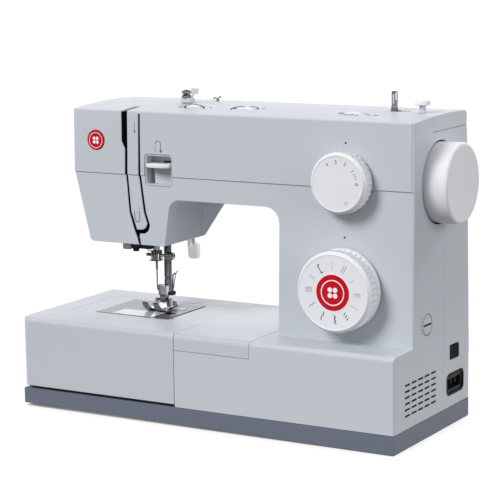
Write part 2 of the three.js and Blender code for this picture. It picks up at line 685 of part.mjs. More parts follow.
// ---------------------------------------------------------------- hook, bobbin and feed
const hookProfile = [
  [0, 40],
  [3.5, 40],
  [3.5, 44],
  [7, 44],
  [7, 56],
  [3.5, 56],
  [3.5, 66],
  [HOOK.radius, 66],
  [HOOK.radius, 79],
  [HOOK.radius - 1.3, 79],
  [HOOK.radius - 1.3, 68],
  [0, 68],
];
const hookPivot = [HOOK.x, HOOK.y, 66];
const hookNotch = box(HOOK.x - 2, HOOK.y + 12, 73, HOOK.x + 6, HOOK.y + 20, 80);
const rotaryHook = turned("Z", [HOOK.x, HOOK.y, 0], hookProfile, 24).subtract(hookNotch);
add("rotary_hook", rotaryHook, steel, machine, hookPivot);
const caseProfile = [
  [0, 68.4],
  [15.7, 68.4],
  [15.7, 80],
  [11.6, 80],
  [11.6, 69.4],
  [0, 69.4],
];
add("bobbin_case", turned("Z", [HOOK.x, HOOK.y, 0], caseProfile, 24), black);
const bobbinProfile = [
  [3, 69.9],
  [10.6, 69.9],
  [10.6, 70.9],
  [5, 70.9],
  [5, 78.9],
  [10.6, 78.9],
  [10.6, 79.9],
  [3, 79.9],
  [3, 69.9],
];
add("bobbin", turned("Z", [HOOK.x, HOOK.y, 0], bobbinProfile, 20), clear, machine, [HOOK.x, HOOK.y, 69.9]);

const feedBars = [91.6, 101.8].map((x) => ({ left: x, right: x + 3.6 }));
const FEED = { front: 83.5, back: 106, top: 83.8 };
const feedTeeth = (from, to) => {
  const profile = [new THREE.Vector2(FEED.back, 78), new THREE.Vector2(FEED.back, FEED.top)];
  const count = 11;
  const pitch = (FEED.back - FEED.front) / count;
  for (let i = 1; i <= count; i++) {
    profile.push(new THREE.Vector2(FEED.back - pitch * i, FEED.top - 0.9));
    if (i < count) profile.push(new THREE.Vector2(FEED.back - pitch * i, FEED.top));
  }
  profile.push(new THREE.Vector2(FEED.front, 78));
  return prism("X", profile, from, to);
};
const feedDog = union(
  box(91.6, FEED.front, 76, 105.4, FEED.back, 79),
  ...feedBars.map(({ left, right }) => feedTeeth(left, right)),
);
add("feed_dog", feedDog, steel, machine, [98.5, 95, 76]);

// ---------------------------------------------------------------- needle plate and bobbin cover
const coverSeat = box(64.7, 52, 80, 110.3, 75.3, 90);
const needleSlot = box(NEEDLE.x - 3.5, NEEDLE.y - 1.3, 70, NEEDLE.x + 3.5, NEEDLE.y + 1.3, 90);
const FEED_ROOM = 0.6; // clearance round the feed bars
const feedSlots = union(
  ...feedBars.map(({ left, right }) =>
    box(left - FEED_ROOM, FEED.front - FEED_ROOM, 70, right + FEED_ROOM, FEED.back + FEED_ROOM, 90),
  ),
);
const catchSlot = box(111.4, 71, 70, 121.2, 76.6, 90);
const PLATE_SCREW = { x: 116.4, y: 94.4 };
const screwSeat = bar("Z", PLATE_SCREW.x, PLATE_SCREW.y, 3.9, 82.3, 90).add(
  bar("Z", PLATE_SCREW.x, PLATE_SCREW.y, 2, 70, 90, 16),
);
const needlePlate = box(49, 50, BED_TOP - 2.4, 127.6, 117, BED_TOP + 0.2).subtract(
  union(coverSeat, needleSlot, feedSlots, catchSlot, screwSeat),
);
add("needle_plate", needlePlate, steel);
const plateScrew = bar("Z", PLATE_SCREW.x, PLATE_SCREW.y, 3.6, 82.6, 84.6)
  .add(bar("Z", PLATE_SCREW.x, PLATE_SCREW.y, 1.6, 74.5, 82.8, 16))
  .subtract(box(PLATE_SCREW.x - 4, PLATE_SCREW.y - 0.4, 83.9, PLATE_SCREW.x + 4, PLATE_SCREW.y + 0.4, 86));
add("plate_screw", plateScrew, steel);
add("bobbin_cover", box(65, 52.3, 82, 110, 75, BED_TOP + 0.2), clear, machine, [87.5, 52.3, BED_TOP]);
const catchShape = [
  [111.8, 71.4, 2.3],
  [117.6, 71.4, 2.3],
  [117.6, 76.2, 2.3],
  [111.8, 76.2, 2.3],
];
add("cover_catch", roundedPrism("Z", catchShape, 80.5, 85.2, 30), black, machine, [114.7, 73.8, 84]);

// ---------------------------------------------------------------- needle bar
const needleWorks = new THREE.Group();
machine.add(needleWorks);
const CLAMP_HEIGHT = 137; // of the screw that holds the needle
const needlePivot = [NEEDLE.x, NEEDLE.y, CLAMP_HEIGHT];
const clampHole = bar("Z", NEEDLE.x, NEEDLE.y, 3.5, 133.4, 150, 16);
add("needle_bar", bar("Z", NEEDLE.x, NEEDLE.y, 3.2, 133.8, 258, 20), steel, needleWorks, needlePivot);
const clampBody = union(
  bar("Z", NEEDLE.x, NEEDLE.y, 5.6, 131.8, 142, 20),
  box(88, NEEDLE.y - 1.5, CLAMP_HEIGHT - 1.5, 94, NEEDLE.y + 1.5, CLAMP_HEIGHT + 1.5),
);
const clampScrewHole = bar("X", NEEDLE.y, CLAMP_HEIGHT, 1.9, 100, 112, 12);
add("needle_clamp", clampBody.subtract(clampHole.add(clampScrewHole)), steel, needleWorks, needlePivot);
const clampScrew = bar("X", NEEDLE.y, CLAMP_HEIGHT, 1.6, 102.6, 109, 12).add(
  prism("X", flutedOutline(NEEDLE.y, CLAMP_HEIGHT, 3.7, 14, 0.3), 108.8, 117.4),
);
add("clamp_screw", clampScrew, steel, needleWorks, needlePivot);
const needleProfile = [
  [0, NEEDLE.tip],
  [0.5, NEEDLE.tip + 4],
  [0.5, 122],
  [1, 124],
  [1, 131.5],
  [0, 131.5],
];
add("needle", turned("Z", [NEEDLE.x, NEEDLE.y, 0], needleProfile, 12), steel, needleWorks, needlePivot);

// The take-up lever swings in the wide upper part of the thread slot.
const TAKE_UP = { x: 93.9, y: 92, z: 246, reach: 46, rise: 35 };
const takeUpShape = [
  [6, -4, 3],
  [6, 4, 3],
  [-TAKE_UP.reach, 2.4, 2],
  [-TAKE_UP.reach, -2.4, 2],
];
const takeUp = roundedPrism("X", takeUpShape, -0.8, 0.8).subtract(
  bar("X", -TAKE_UP.reach + 3.4, 0, 1.2, -2, 2, 12),
);
const takeUpMesh = add("take_up_lever", takeUp, steel);
takeUpMesh.position.set(TAKE_UP.x, TAKE_UP.y, TAKE_UP.z);
takeUpMesh.rotation.x = -THREE.MathUtils.degToRad(TAKE_UP.rise);

// ---------------------------------------------------------------- presser bar and foot
const presserWorks = new THREE.Group();
machine.add(presserWorks);
const presserPivot = [PRESSER.x, PRESSER.y, 104];
add("presser_bar", bar("Z", PRESSER.x, PRESSER.y, 3.5, 97, 256, 20), steel, presserWorks, presserPivot);
const FOOT_PIN = { y: 91, z: 92.6 };
const ANKLE = { left: 95.3, right: 101.7, front: 88.4, back: 95.1, top: 106 };
const CHEEK = { left: 92.9, right: 94.7, back: 103 }; // lies along the bar's left side
const ANKLE_SCREW_HEIGHT = 102;
const ankle = union(
  box(ANKLE.left, ANKLE.front + 2, 96, ANKLE.right, ANKLE.back, ANKLE.top),
  box(ANKLE.left, ANKLE.front, 90.2, ANKLE.right, ANKLE.back, 97.5),
  box(CHEEK.left, ANKLE.front + 2, 97, CHEEK.right, CHEEK.back, ANKLE.top),
  box(CHEEK.left, ANKLE.front + 2, 97, ANKLE.left + 1, ANKLE.front + 4, ANKLE.top),
).subtract(
  union(
    box(90, FOOT_PIN.y - 1.6, 88, 110, FOOT_PIN.y + 1.6, 94.4),
    bar("X", PRESSER.y, ANKLE_SCREW_HEIGHT, 1.9, 90, 96, 12),
  ),
);
add("foot_ankle", ankle, steel, presserWorks, presserPivot);
const ankleScrew = bar("X", PRESSER.y, ANKLE_SCREW_HEIGHT, 1.6, 90, 94.7, 12).add(
  prism("X", flutedOutline(PRESSER.y, ANKLE_SCREW_HEIGHT, 3.6, 16, 0.35), 87.6, 92.6),
);
add("ankle_screw", ankleScrew, steel, presserWorks, presserPivot);

// The sole turns up into two toes at the front and is relieved at the heel.
const soleToe = [[66, 93.5], [68, 90.2], [71, 87.3], [74.5, 85.2], [78, 84.4]];
const soleHeel = [[90, 84.4], [95, 85.2], [100, 86.6]];
const soleOver = [[100, 88.2], [94, 86.9], [78.5, 86.2], [75, 87], [72, 89], [69.4, 91.6], [67.6, 94.4]];
const soleProfile = [...soleToe, ...soleHeel, ...soleOver].map(([y, z]) => new THREE.Vector2(y, z));
const presserFoot = union(
  prism("X", soleProfile, 89, 108),
  box(90, 88.6, 85.5, 92, 93.4, 94.6),
  box(105, 88.6, 85.5, 107, 93.4, 94.6),
  bar("X", FOOT_PIN.y, FOOT_PIN.z, 1.2, 91, 106, 12),
).subtract(union(box(94.7, 76.6, 80, 102.3, 82.4, 90), box(96.5, 60, 80, 100.5, 77, 100)));
add("presser_foot", presserFoot, steel, presserWorks, [PRESSER.x, FOOT_PIN.y, FOOT_PIN.z]);

const lifterShape = [
  [114, 174, 3],
  [119, 166],
  [131, 138],
  [134, 126, 2],
  [142, 126, 2],
  [140, 141],
  [126, 168],
  [121, 176, 3],
];
const lifterVolume = union(
  roundedPrism("X", lifterShape.toReversed(), 100.6, 106.6),
  roundedPrism("X", [[134, 125, 2], [142, 125, 2], [140, 141], [132, 141]], 98.2, 109),
);
add("presser_lifter", lifterVolume, knobWhite, machine, [LIFTER.x, LIFTER.y, LIFTER.z]);

const threader = union(
  bar("Z", 84, 69, 1.8, 142, 205, 12),
  box(69, 64.5, 143, 79, 71.5, 151),
  box(78, 66, 144.2, 101, 71.5, 149.6),
);
add("needle_threader", threader, knobWhite, machine, [84, 69, 146]);

// ---------------------------------------------------------------- front controls
const pocket = roundedPrism("Y", inset(reverseCorners, -1.2), frontAt(222) + COVER_LIP + 0.3, 54).subtract(
  union(
    roundedPrism("Y", reverseCorners, 30, REVERSE.floor),
    box(119, 46.6, 200, 141.4, REVERSE.floor, 215),
    box(127, 50, 214, 137, 60, 230),
  ),
);
add("reverse_pocket", pocket, casingGrey);
const reverseLever = union(
  roundedPrism(
    "X",
    [
      [34, 224.9, 1.5],
      [50.6, 224.9],
      [50.6, 228.4],
      [34, 228.4, 1.5],
    ],
    REVERSE.left + 1,
    REVERSE.right - 1,
  ),
  box(119.6, 47, 207, 140.6, 50.6, 226),
  box(128, 50, 222, 136, 66, 228.4),
);
add("reverse_lever", reverseLever, knobWhite, machine, [128.4, 50, 226.6]);

function dial(name, { x, z, radius, face, back }, flutes, shaft) {
  const skirt = prism("Y", flutedOutline(x, z, radius, flutes, 0.7), face + 2.4, back);
  const step = bar("Y", x, z, radius - 2.2, face, face + 3, 32);
  const stem = bar("Y", x, z, shaft, back - 1, back + 22, 12);
  add(name, union(skirt, step, stem), knobWhite, machine, [x, face, z]);
}
dial("pattern_dial", PATTERN_DIAL, 36, 5);
dial("length_dial", LENGTH_DIAL, 28, 4);
const badge = bar("Y", BADGE.x, BADGE.z, BADGE.radius, frontAt(BADGE.z) - 0.6, 40.6, 32);
add("badge", badge, signalRed, machine, [BADGE.x, 40.6, BADGE.z]);

// ---------------------------------------------------------------- right end
const screwSlot = box(381, ADJUSTER.y - 7.5, ADJUSTER.z - 0.9, 390, ADJUSTER.y + 7.5, ADJUSTER.z + 0.9);
const adjuster = bar("X", ADJUSTER.y, ADJUSTER.z, ADJUSTER.radius, 377, 382.3, 24).subtract(screwSlot);
add("balance_adjuster", adjuster, casingGrey, machine, [382, ADJUSTER.y, ADJUSTER.z]);

const SWITCH_TILT = 9;
const rockerShape = [
  [-9, -7.6],
  [1.2, -7.6],
  [0.2, 0],
  [1.2, 7.6],
  [-9, 7.6],
];
const rockerHalf = (SWITCH.height - 0.6) / 2;
const rocker = add("power_switch", roundedPrism("Z", rockerShape, -rockerHalf, rockerHalf), black);
rocker.position.set(381.2, SWITCH.y, SWITCH.z);
rocker.rotation.z = -THREE.MathUtils.degToRad(SWITCH_TILT);

const inletVolume = roundedPrism("X", inletCorners, 364, 382.3).subtract(
  roundedPrism("X", inset(inletCorners, 2.4), 367, 390),
);
const prongs = [113, 125, 137].map((y) => box(366, y - 1.2, 35, 374.5, y + 1.2, 39));
add("power_inlet", union(inletVolume, ...prongs), black);

// ---------------------------------------------------------------- top fittings
for (const [name, x] of Object.entries(THUMBWHEELS)) {
  const crown = CROWN_TOP - (THUMBWHEEL.y - CROWN_MIDDLE) ** 2 / (2 * CROWN_RADIUS);
  const z = crown + THUMBWHEEL.height - THUMBWHEEL.radius;
  const half = THUMBWHEEL.thickness / 2;
  const rim = flutedOutline(x, z, THUMBWHEEL.radius, 28, 0.6);
  const wheel = prism("Y", rim, THUMBWHEEL.y - half, THUMBWHEEL.y + half).add(
    bar("Y", x, z, 3, THUMBWHEEL.y - half, THUMBWHEEL.y + half + 12, 12),
  );
  add(name, wheel, knobWhite, machine, [x, THUMBWHEEL.y, z]);
}

const winderProfile = [
  [0, 258],
  [2.4, 258],
  [2.4, 275],
  [2.9, 277.5],
  [3.4, 279],
  [2.9, 280.5],
  [2.9, 294],
  [2.2, 295.6],
  [0, 295.6],
];
const winderSpindle = turned("Z", [WINDER.x, WINDER.y, 0], winderProfile);
add("winder_spindle", winderSpindle, steel, machine, [WINDER.x, WINDER.y, 278]);
const carriagePlate = box(WINDER.x - 9, WINDER.y - 7, 262, WINDER.x + 9, WINDER.y + 4, 266);
add("winder_carriage", carriagePlate.subtract(bar("Z", WINDER.x, WINDER.y, 2.7, 255, 270)), black);
const stopProfile = [
  [0, 268],
  [3.25, 268],
  [3.25, 284.6],
  [6.9, 284.6],
  [6.9, 288.2],
  [6.1, 289],
  [0, 289],
];
add("winder_stop", turned("Z", [STOP.x, STOP.y, 0], stopProfile), knobWhite);

// A sprung disc holds the thread against its seat while a bobbin is wound.
const discProfile = [
  [0, 282],
  [5, 283.4],
  [5, 285.4],
  [3.4, 286.2],
  [5, 287],
  [5, 289],
  [2, 290.4],
  [0, 290.4],
];
const guide = union(
  bar("Z", GUIDE.x, GUIDE.y, 2.8, 268, 284, 16),
  box(GUIDE.x - 5, GUIDE.y - 3.5, 278.6, GUIDE.x + 7, GUIDE.y + 3.5, 283),
  turned("Z", [GUIDE.x, GUIDE.y, 0], discProfile),
  box(GUIDE.x + 5.2, GUIDE.y - 0.8, 282, GUIDE.x + 7, GUIDE.y + 0.8, 290),
  box(GUIDE.x + 5.2, GUIDE.y - 0.8, 286.6, GUIDE.x + 13, GUIDE.y + 0.8, 292),
);
add("bobbin_thread_guide", guide, steel);
const rearGuide = union(
  bar("Z", REAR_GUIDE.x, REAR_GUIDE.y, 1.8, 268, 281, 12),
  box(REAR_GUIDE.x - 4.5, REAR_GUIDE.y - 1.2, 280, REAR_GUIDE.x + 4.5, REAR_GUIDE.y + 1.2, 283),
);
add("rear_thread_guide", rearGuide, steel);

// ---------------------------------------------------------------- back fittings
const handleArm = (from) =>
  box(from, 147.2, HANDLE.z - HANDLE.reach, from + 12, 153.8, HANDLE.z).add(
    bar("X", HANDLE.y, HANDLE.z, 3.3, from, from + 12),
  );
const handleGrip = roundedPrism(
  "X",
  [
    [147.2, HANDLE.z - HANDLE.reach, 2.5],
    [153.8, HANDLE.z - HANDLE.reach, 2.5],
    [153.8, HANDLE.z - HANDLE.reach + 14, 2.5],
    [147.2, HANDLE.z - HANDLE.reach + 14, 2.5],
  ],
  HANDLE.left + 1,
  HANDLE.right - 1,
);
const handle = union(
  handleArm(HANDLE.left),
  handleArm(HANDLE.right - 12),
  handleGrip,
  bar("X", HANDLE.y, HANDLE.z, 2.5, HANDLE.left - 6.5, HANDLE.left + 2, 16),
  bar("X", HANDLE.y, HANDLE.z, 2.5, HANDLE.right - 2, HANDLE.right + 6.5, 16),
);
add("carry_handle", handle, casingGrey, machine, [221, HANDLE.y, HANDLE.z]);
const pinProfile = [
  [0, SPOOL_PIN.bottom],
  [SPOOL_PIN.radius, SPOOL_PIN.bottom],
  [SPOOL_PIN.radius, SPOOL_PIN.top - 4],
  [3.4, SPOOL_PIN.top - 3.4],
  [3.4, SPOOL_PIN.top - 1],
  [2.4, SPOOL_PIN.top],
  [0, SPOOL_PIN.top],
];
const spoolPin = turned("Z", [SPOOL_PIN.x, SPOOL_PIN.y, 0], pinProfile, 16);
add("spool_pin", spoolPin, knobWhite, machine, [SPOOL_PIN.x, SPOOL_PIN.y, SPOOL_PIN.top]);

// ---------------------------------------------------------------- lamp behind the needle
const lampProfile = [[0, 158], [5, 160], [7, 165], [7, 176], [5, 180], [5, 190], [0, 190]];
add("lamp", turned("Z", [66, 100, 0], lampProfile), clear);

export default machine;
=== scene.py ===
"""Studio scene of a free-arm household sewing machine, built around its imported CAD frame.

Pieces are drawn in millimetres from the front left corner of the base: x to the right, y to the
back, z up. place() turns such a point into the frame's metres.
"""
import json
import math
from math import cos, pi, radians, sin, tan, tau

import bmesh
import bpy
from mathutils import Matrix, Vector


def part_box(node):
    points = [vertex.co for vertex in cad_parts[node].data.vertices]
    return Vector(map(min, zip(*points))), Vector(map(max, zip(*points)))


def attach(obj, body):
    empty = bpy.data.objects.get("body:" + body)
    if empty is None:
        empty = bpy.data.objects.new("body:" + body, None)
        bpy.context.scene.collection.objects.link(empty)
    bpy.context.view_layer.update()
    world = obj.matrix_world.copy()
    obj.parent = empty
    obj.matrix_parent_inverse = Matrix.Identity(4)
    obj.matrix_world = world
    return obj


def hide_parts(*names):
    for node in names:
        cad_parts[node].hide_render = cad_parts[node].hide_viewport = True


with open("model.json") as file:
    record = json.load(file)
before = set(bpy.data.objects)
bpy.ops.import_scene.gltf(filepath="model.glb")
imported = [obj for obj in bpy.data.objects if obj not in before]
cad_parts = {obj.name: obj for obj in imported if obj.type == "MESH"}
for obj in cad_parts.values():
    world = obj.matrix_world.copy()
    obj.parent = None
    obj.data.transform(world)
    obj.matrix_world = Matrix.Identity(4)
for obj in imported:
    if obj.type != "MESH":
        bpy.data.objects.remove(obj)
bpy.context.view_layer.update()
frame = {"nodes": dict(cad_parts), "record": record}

MM = 0.001
NODES = frame["nodes"]
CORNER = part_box("base_tray")[0]


def place(x, y, z):
    """A point in millimetres from the base's front left corner, as a point in the frame."""
    return Vector((CORNER.x + x * MM, CORNER.y + y * MM, z * MM))


def extent(node):
    """The (low, high) corners of a CAD node, in millimetres from the base's front left corner."""
    return [((p.x - CORNER.x) / MM, (p.y - CORNER.y) / MM, p.z / MM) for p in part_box(node)]


def measured(node):
    """The low and high corners of a CAD node, and its middle."""
    low, high = extent(node)
    return low, high, [(a + b) / 2 for a, b in zip(low, high)]


def centre(node):
    return measured(node)[2]


def add_object(name, data):
    obj = bpy.data.objects.new(name, data)
    bpy.context.scene.collection.objects.link(obj)
    return obj


def put(node, **values):
    """Sets inputs of a shader or geometry node; an underscore stands for a space."""
    for key, value in values.items():
        node.inputs[key.replace("_", " ")].default_value = value
    return node


# ---- camera
CAMERA_ANGLES = (30.267, 9.684, -0.765)  # azimuth, elevation and roll, in degrees
CAMERA_DISTANCE = 1713.44
CAMERA_TARGET = (205.28, 69.55, 151.17)
CAMERA_LENS, CAMERA_SENSOR = 137.43, 36
CAMERA_REACH = 500  # metres


def add_camera():
    azimuth, elevation, roll = (radians(angle) for angle in CAMERA_ANGLES)
    level_share = cos(elevation)
    back = Vector(
        (sin(azimuth) * level_share, -cos(azimuth) * level_share, sin(elevation))
    )
    level = Vector((cos(azimuth), sin(azimuth), 0))
    upright = back.cross(level)
    right = level * cos(roll) + upright * sin(roll)
    up = upright * cos(roll) - level * sin(roll)
    data = bpy.data.cameras.new("camera")
    data.lens, data.sensor_width, data.clip_end = CAMERA_LENS, CAMERA_SENSOR, CAMERA_REACH
    camera = add_object("camera", data)
    rotation = Matrix((right, up, back)).transposed().to_4x4()
    spot = place(*CAMERA_TARGET) + back * CAMERA_DISTANCE * MM
    camera.matrix_world = Matrix.Translation(spot) @ rotation
    bpy.context.scene.camera = camera


add_camera()


# ---- colours and node helpers
def linear(red, green, blue):
    """An 8-bit display colour as linear light."""
    channels = [c / 255 for c in (red, green, blue)]
    return tuple(c / 12.92 if c <= 0.04045 else ((c + 0.055) / 1.055) ** 2.4 for c in channels)


def scaled(colour, factor):
    return tuple(min(c * factor, 1) for c in colour)


class Surface:
    """A Principled material and short ways to add the nodes that vary it."""

    def __init__(self, name):
        self.material = bpy.data.materials.new(name)
        self.material.use_nodes = True
        self.tree = self.material.node_tree
        self.shader = self.tree.nodes["Principled BSDF"]
        self.coordinates = self.node("ShaderNodeTexCoord").outputs["Object"]

    def node(self, kind, **settings):
        made = self.tree.nodes.new(kind)
        for key, value in settings.items():
            setattr(made, key, value)
        return made

    def link(self, source, target):
        self.tree.links.new(source, target)

    def set(self, **values):
        put(self.shader, **values)
        return self

    def noise(self, scale, detail=3, stretch=(1, 1, 1)):
        """Noise over the object, in cells per metre, stretched along chosen axes."""
        mapping = put(self.node("ShaderNodeMapping"), Scale=stretch)
        self.link(self.coordinates, mapping.inputs["Vector"])
        texture = put(self.node("ShaderNodeTexNoise"), Scale=scale, Detail=detail)
        self.link(mapping.outputs["Vector"], texture.inputs["Vector"])
        return texture.outputs["Fac"]

    def ramp(self, source, low, high, positions=(0.3, 0.7)):
        """A ramp between two colours, or between two values when they are numbers."""
        ramp = self.node("ShaderNodeValToRGB")
        for element, position, value in zip(ramp.color_ramp.elements, positions, (low, high)):
            element.position = position
            element.color = (*value, 1) if isinstance(value, tuple) else (value, value, value, 1)
        self.link(source, ramp.inputs["Fac"])
        return ramp.outputs["Color"]

    def colour(self, source, low, high, positions=(0.3, 0.7)):
        self.link(self.ramp(source, low, high, positions), self.shader.inputs["Base Color"])
        return self

    def roughness(self, source, low, high):
        self.link(self.ramp(source, low, high), self.shader.inputs["Roughness"])
        return self

    def bump(self, source, strength, distance):
        bump = put(self.node("ShaderNodeBump"), Strength=strength, Distance=distance)
        self.link(source, bump.inputs["Height"])
        self.link(bump.outputs["Normal"], self.shader.inputs["Normal"])
        return self


def plastic(name, colour, roughness, grain=0.08, gloss=0.5, variation=0.012):
    """Moulded plastic in an 8-bit colour: a fine grain with slow drifts of tone and gloss."""
    colour = linear(*colour)
    surface = Surface(name).set(IOR=1.49, Specular_IOR_Level=gloss)
    surface.colour(surface.noise(14), scaled(colour, 1 - variation), scaled(colour, 1 + variation))
    surface.roughness(surface.noise(55), roughness - 0.03, roughness + 0.03)
    surface.bump(surface.noise(2600, detail=2), grain, 0.00006)
    return surface.material


def steel(name, colour, roughness, stretch=(1, 1, 1), grain=0.05):
    """Plated or ground steel, with polishing marks along the unstretched axis."""
    surface = Surface(name).set(Metallic=1.0)
    marks = surface.noise(420, detail=4, stretch=stretch)
    surface.colour(marks, scaled(colour, 0.93), scaled(colour, 1.05))
    surface.roughness(marks, roughness * 0.75, roughness * 1.3)
    surface.bump(marks, grain, 0.00003)
    return surface.material



materials = {
    "casing": plastic("casing_plastic", (190, 195, 202), 0.42),
    "bed": plastic("bed_plastic", (186, 191, 198), 0.36),
    "base": plastic("base_plastic", (97, 104, 118), 0.5, grain=0.14),
    "knob": plastic("knob_plastic", (226, 227, 231), 0.5, grain=0.03, gloss=0.35),
    "badge": plastic("badge_lacquer", (188, 2, 28), 0.4, grain=0.02, gloss=0.25),
    "black_plastic": plastic("black_plastic", (24, 25, 28), 0.5, grain=0.12, gloss=0.25),
    "deep_black": plastic("deep_black_plastic", (7, 7, 10), 0.5, grain=0.05, gloss=0.12),
    "grey_plastic": plastic("grey_plastic", (196, 199, 204), 0.45, grain=0.04),
    "rubber": plastic("black_rubber", (38, 38, 40), 0.75, grain=0.3),
    "bright_steel": steel("nickel_plate", (0.66, 0.67, 0.69), 0.18),
    # painted shade: the next three are darker copies of the nickel plate, which stand in for dark
    # surroundings in their reflections
    "chrome_with_painted_shade": steel("chrome_with_painted_shade", (0.3, 0.3, 0.315), 0.08),
    "shaded_chrome": steel("shaded_chrome", (0.2, 0.2, 0.215), 0.12),
    "needle_steel_with_painted_shade": steel("needle_steel_with_painted_shade", (0.11, 0.11, 0.12), 0.2),
    "plate_steel": steel("plate_steel", (0.31, 0.32, 0.34), 0.3, stretch=(1, 30, 1)),
    "machined_steel": steel("turned_steel", (0.5, 0.5, 0.52), 0.34, stretch=(1, 12, 12)),
    "cast_frame": steel("cast_aluminium", (0.42, 0.43, 0.45), 0.5, grain=0.4),
    "motor_case": plastic("motor_paint", (34, 35, 38), 0.5, grain=0.15),
}


def clear_plastic():
    """Clear moulded plastic, a little smoky, with faint flow lines."""
    surface = Surface("clear_plastic").set(
        Transmission_Weight=0.6, IOR=1.49, Base_Color=(0.86, 0.88, 0.9, 1)
    )
    surface.roughness(surface.noise(30), 0.04, 0.12)
    surface.bump(surface.noise(60, detail=1), 0.05, 0.0002)
    return surface.material


materials["clear_plastic"] = clear_plastic()


def milky_plastic_with_painted_glow():
    """White plastic that light passes into, with a painted glow: a faint emission that makes it look
    lit.
    """
    surface = Surface("milky_plastic_with_painted_glow").set(Subsurface_Weight=1.0, Subsurface_Scale=0.006, IOR=1.45)
    # painted light: a faint emission lightens the plastic as if more light fell on it
    surface.set(Emission_Color=(1, 1, 1, 1), Emission_Strength=0.2)
    surface.set(Subsurface_Radius=(1, 1, 1))
    surface.colour(surface.noise(20), linear(243, 243, 245), linear(250, 250, 251))
    surface.roughness(surface.noise(55), 0.36, 0.44)
    return surface.material


materials["milky_plastic_with_painted_glow"] = milky_plastic_with_painted_glow()

# the slot that each of the scene's own finishes belongs to; the others are named after theirs
SLOT_OF = {
    **dict.fromkeys(("chrome_with_painted_shade", "shaded_chrome", "needle_steel_with_painted_shade"), "bright_steel"),
    **dict.fromkeys(("deep_black", "dark_ink", "grey_ink", "shadow"), "black_plastic"),
    **dict.fromkeys(("pale_ink", "milky_plastic_with_painted_glow", "grey_plastic"), "knob"),
}


# ---- mesh building
AXES = {
    "X": (Vector((0, 1, 0)), Vector((0, 0, 1)), Vector((1, 0, 0))),
    "Y": (Vector((1, 0, 0)), Vector((0, 0, 1)), Vector((0, 1, 0))),
    "Z": (Vector((1, 0, 0)), Vector((0, 1, 0)), Vector((0, 0, 1))),
}


def arc(start, end, count):
    """Angles in radians from start to end, both in degrees."""
    return [radians(start + (end - start) * i / count) for i in range(count + 1)]


def rounded(corners, step=12):
    """An outline through corners (u, v, radius), with each radius drawn as an arc."""
    points = []
    for i, (u, v, radius) in enumerate(corners):
        corner = Vector((u, v))
        if radius <= 0:
            points.append((u, v))
            continue
        before = (Vector(corners[i - 1][:2]) - corner).normalized()
        after = (Vector(corners[(i + 1) % len(corners)][:2]) - corner).normalized()
        half = before.angle(after) / 2
        middle = corner + (before + after).normalized() * (radius / sin(half))
        start = corner + before * (radius / tan(half)) - middle
        turn = pi - 2 * half
        way = 1 if after.x * before.y - after.y * before.x > 0 else -1
        count = max(2, round(math.degrees(turn) / step))
        for k in range(count + 1):
            spoke = Matrix.Rotation(way * turn * k / count, 2) @ start
            points.append(tuple(middle + spoke))
    return points


def oblong(u0, v0, u1, v1, radius):
    return [(u0, v0, radius), (u1, v0, radius), (u1, v1, radius), (u0, v1, radius)]


def shrunk(outline, distance):
    """An outline of plain points with every edge moved inwards; anticlockwise outlines only."""
    count = len(outline)
    moved = []
    for i in range(count):
        here = Vector(outline[i])
        into = (here - Vector(outline[i - 1])).normalized()
        out = (Vector(outline[(i + 1) % count]) - here).normalized()
        shift = Vector((-into.y - out.y, into.x + out.x))
        moved.append(tuple(here + shift * distance / (1 + into.dot(out))))
    return moved


class Form:
    """Closed shapes gathered into one mesh, in millimetres from the base's front left corner."""

    def __init__(self):
        self.mesh = bmesh.new()

    def loft(self, rings, loop=False):
        """Skins rings of equal length. The ends are closed unless the last ring meets the first."""
        rows = [[self.mesh.verts.new(point) for point in ring] for ring in rings]
        pairs = list(zip(rows, rows[1:]))
        if loop:
            pairs.append((rows[-1], rows[0]))
        for near, far in pairs:
            for i in range(len(near)):
                j = (i + 1) % len(near)
                self.mesh.faces.new((near[i], near[j], far[j], far[i]))
        if not loop:
            self.mesh.faces.new(rows[0][::-1])
            self.mesh.faces.new(rows[-1])
        return self

    def lathe(self, axis, middle, profile, segments=96, ripple=None, loop=False):
        """Turns (radius, height) pairs about an axis; ripple(angle, radius, height) cuts flutes."""
        u, v, w = AXES[axis]
        middle = Vector(middle)
        rings = []
        for radius, height in profile:
            ring = []
            for i in range(segments):
                angle = 2 * pi * i / segments
                reach = radius - (ripple(angle, radius, height) if ripple else 0)
                spoke = u * cos(angle) + v * sin(angle)
                ring.append(middle + spoke * reach + w * height)
            rings.append(ring)
        return self.loft(rings, loop)

    def pin(self, axis, middle, radius, start, end, segments=32):
        """A plain round rod along an axis."""
        profile = [(0, start), (radius, start), (radius, end), (0, end)]
        return self.lathe(axis, middle, profile, segments)

    def prism(self, axis, outline, start, end):
        u, v, w = AXES[axis]
        return self.loft([[u * a + v * b + w * h for a, b in outline] for h in (start, end)])

    def box(self, x0, y0, z0, x1, y1, z1):
        return self.prism("Z", [(x0, y0), (x1, y0), (x1, y1), (x0, y1)], z0, z1)

    def tube(self, path, radius, sides=14):
        """A round wire along a list of points."""
        path = [Vector(point) for point in path]
        side = None
        rings = []
        for i, point in enumerate(path):
            heading = (path[min(i + 1, len(path) - 1)] - path[max(i - 1, 0)]).normalized()
            if side is None:
                side = heading.orthogonal().normalized()
            side = (side - heading * side.dot(heading)).normalized()
            other = heading.cross(side)
            rings.append(
                [
                    point + (side * cos(a) + other * sin(a)) * radius
                    for a in arc(0, 360 * (1 - 1 / sides), sides - 1)
                ]
            )
        return self.loft(rings)

    def shift(self, move):
        """Moves every point by the vector that move(point) gives."""
        for vert in self.mesh.verts:
            vert.co = vert.co + Vector(move(vert.co))
        return self


SAME_POINT = 0.0004  # millimetres


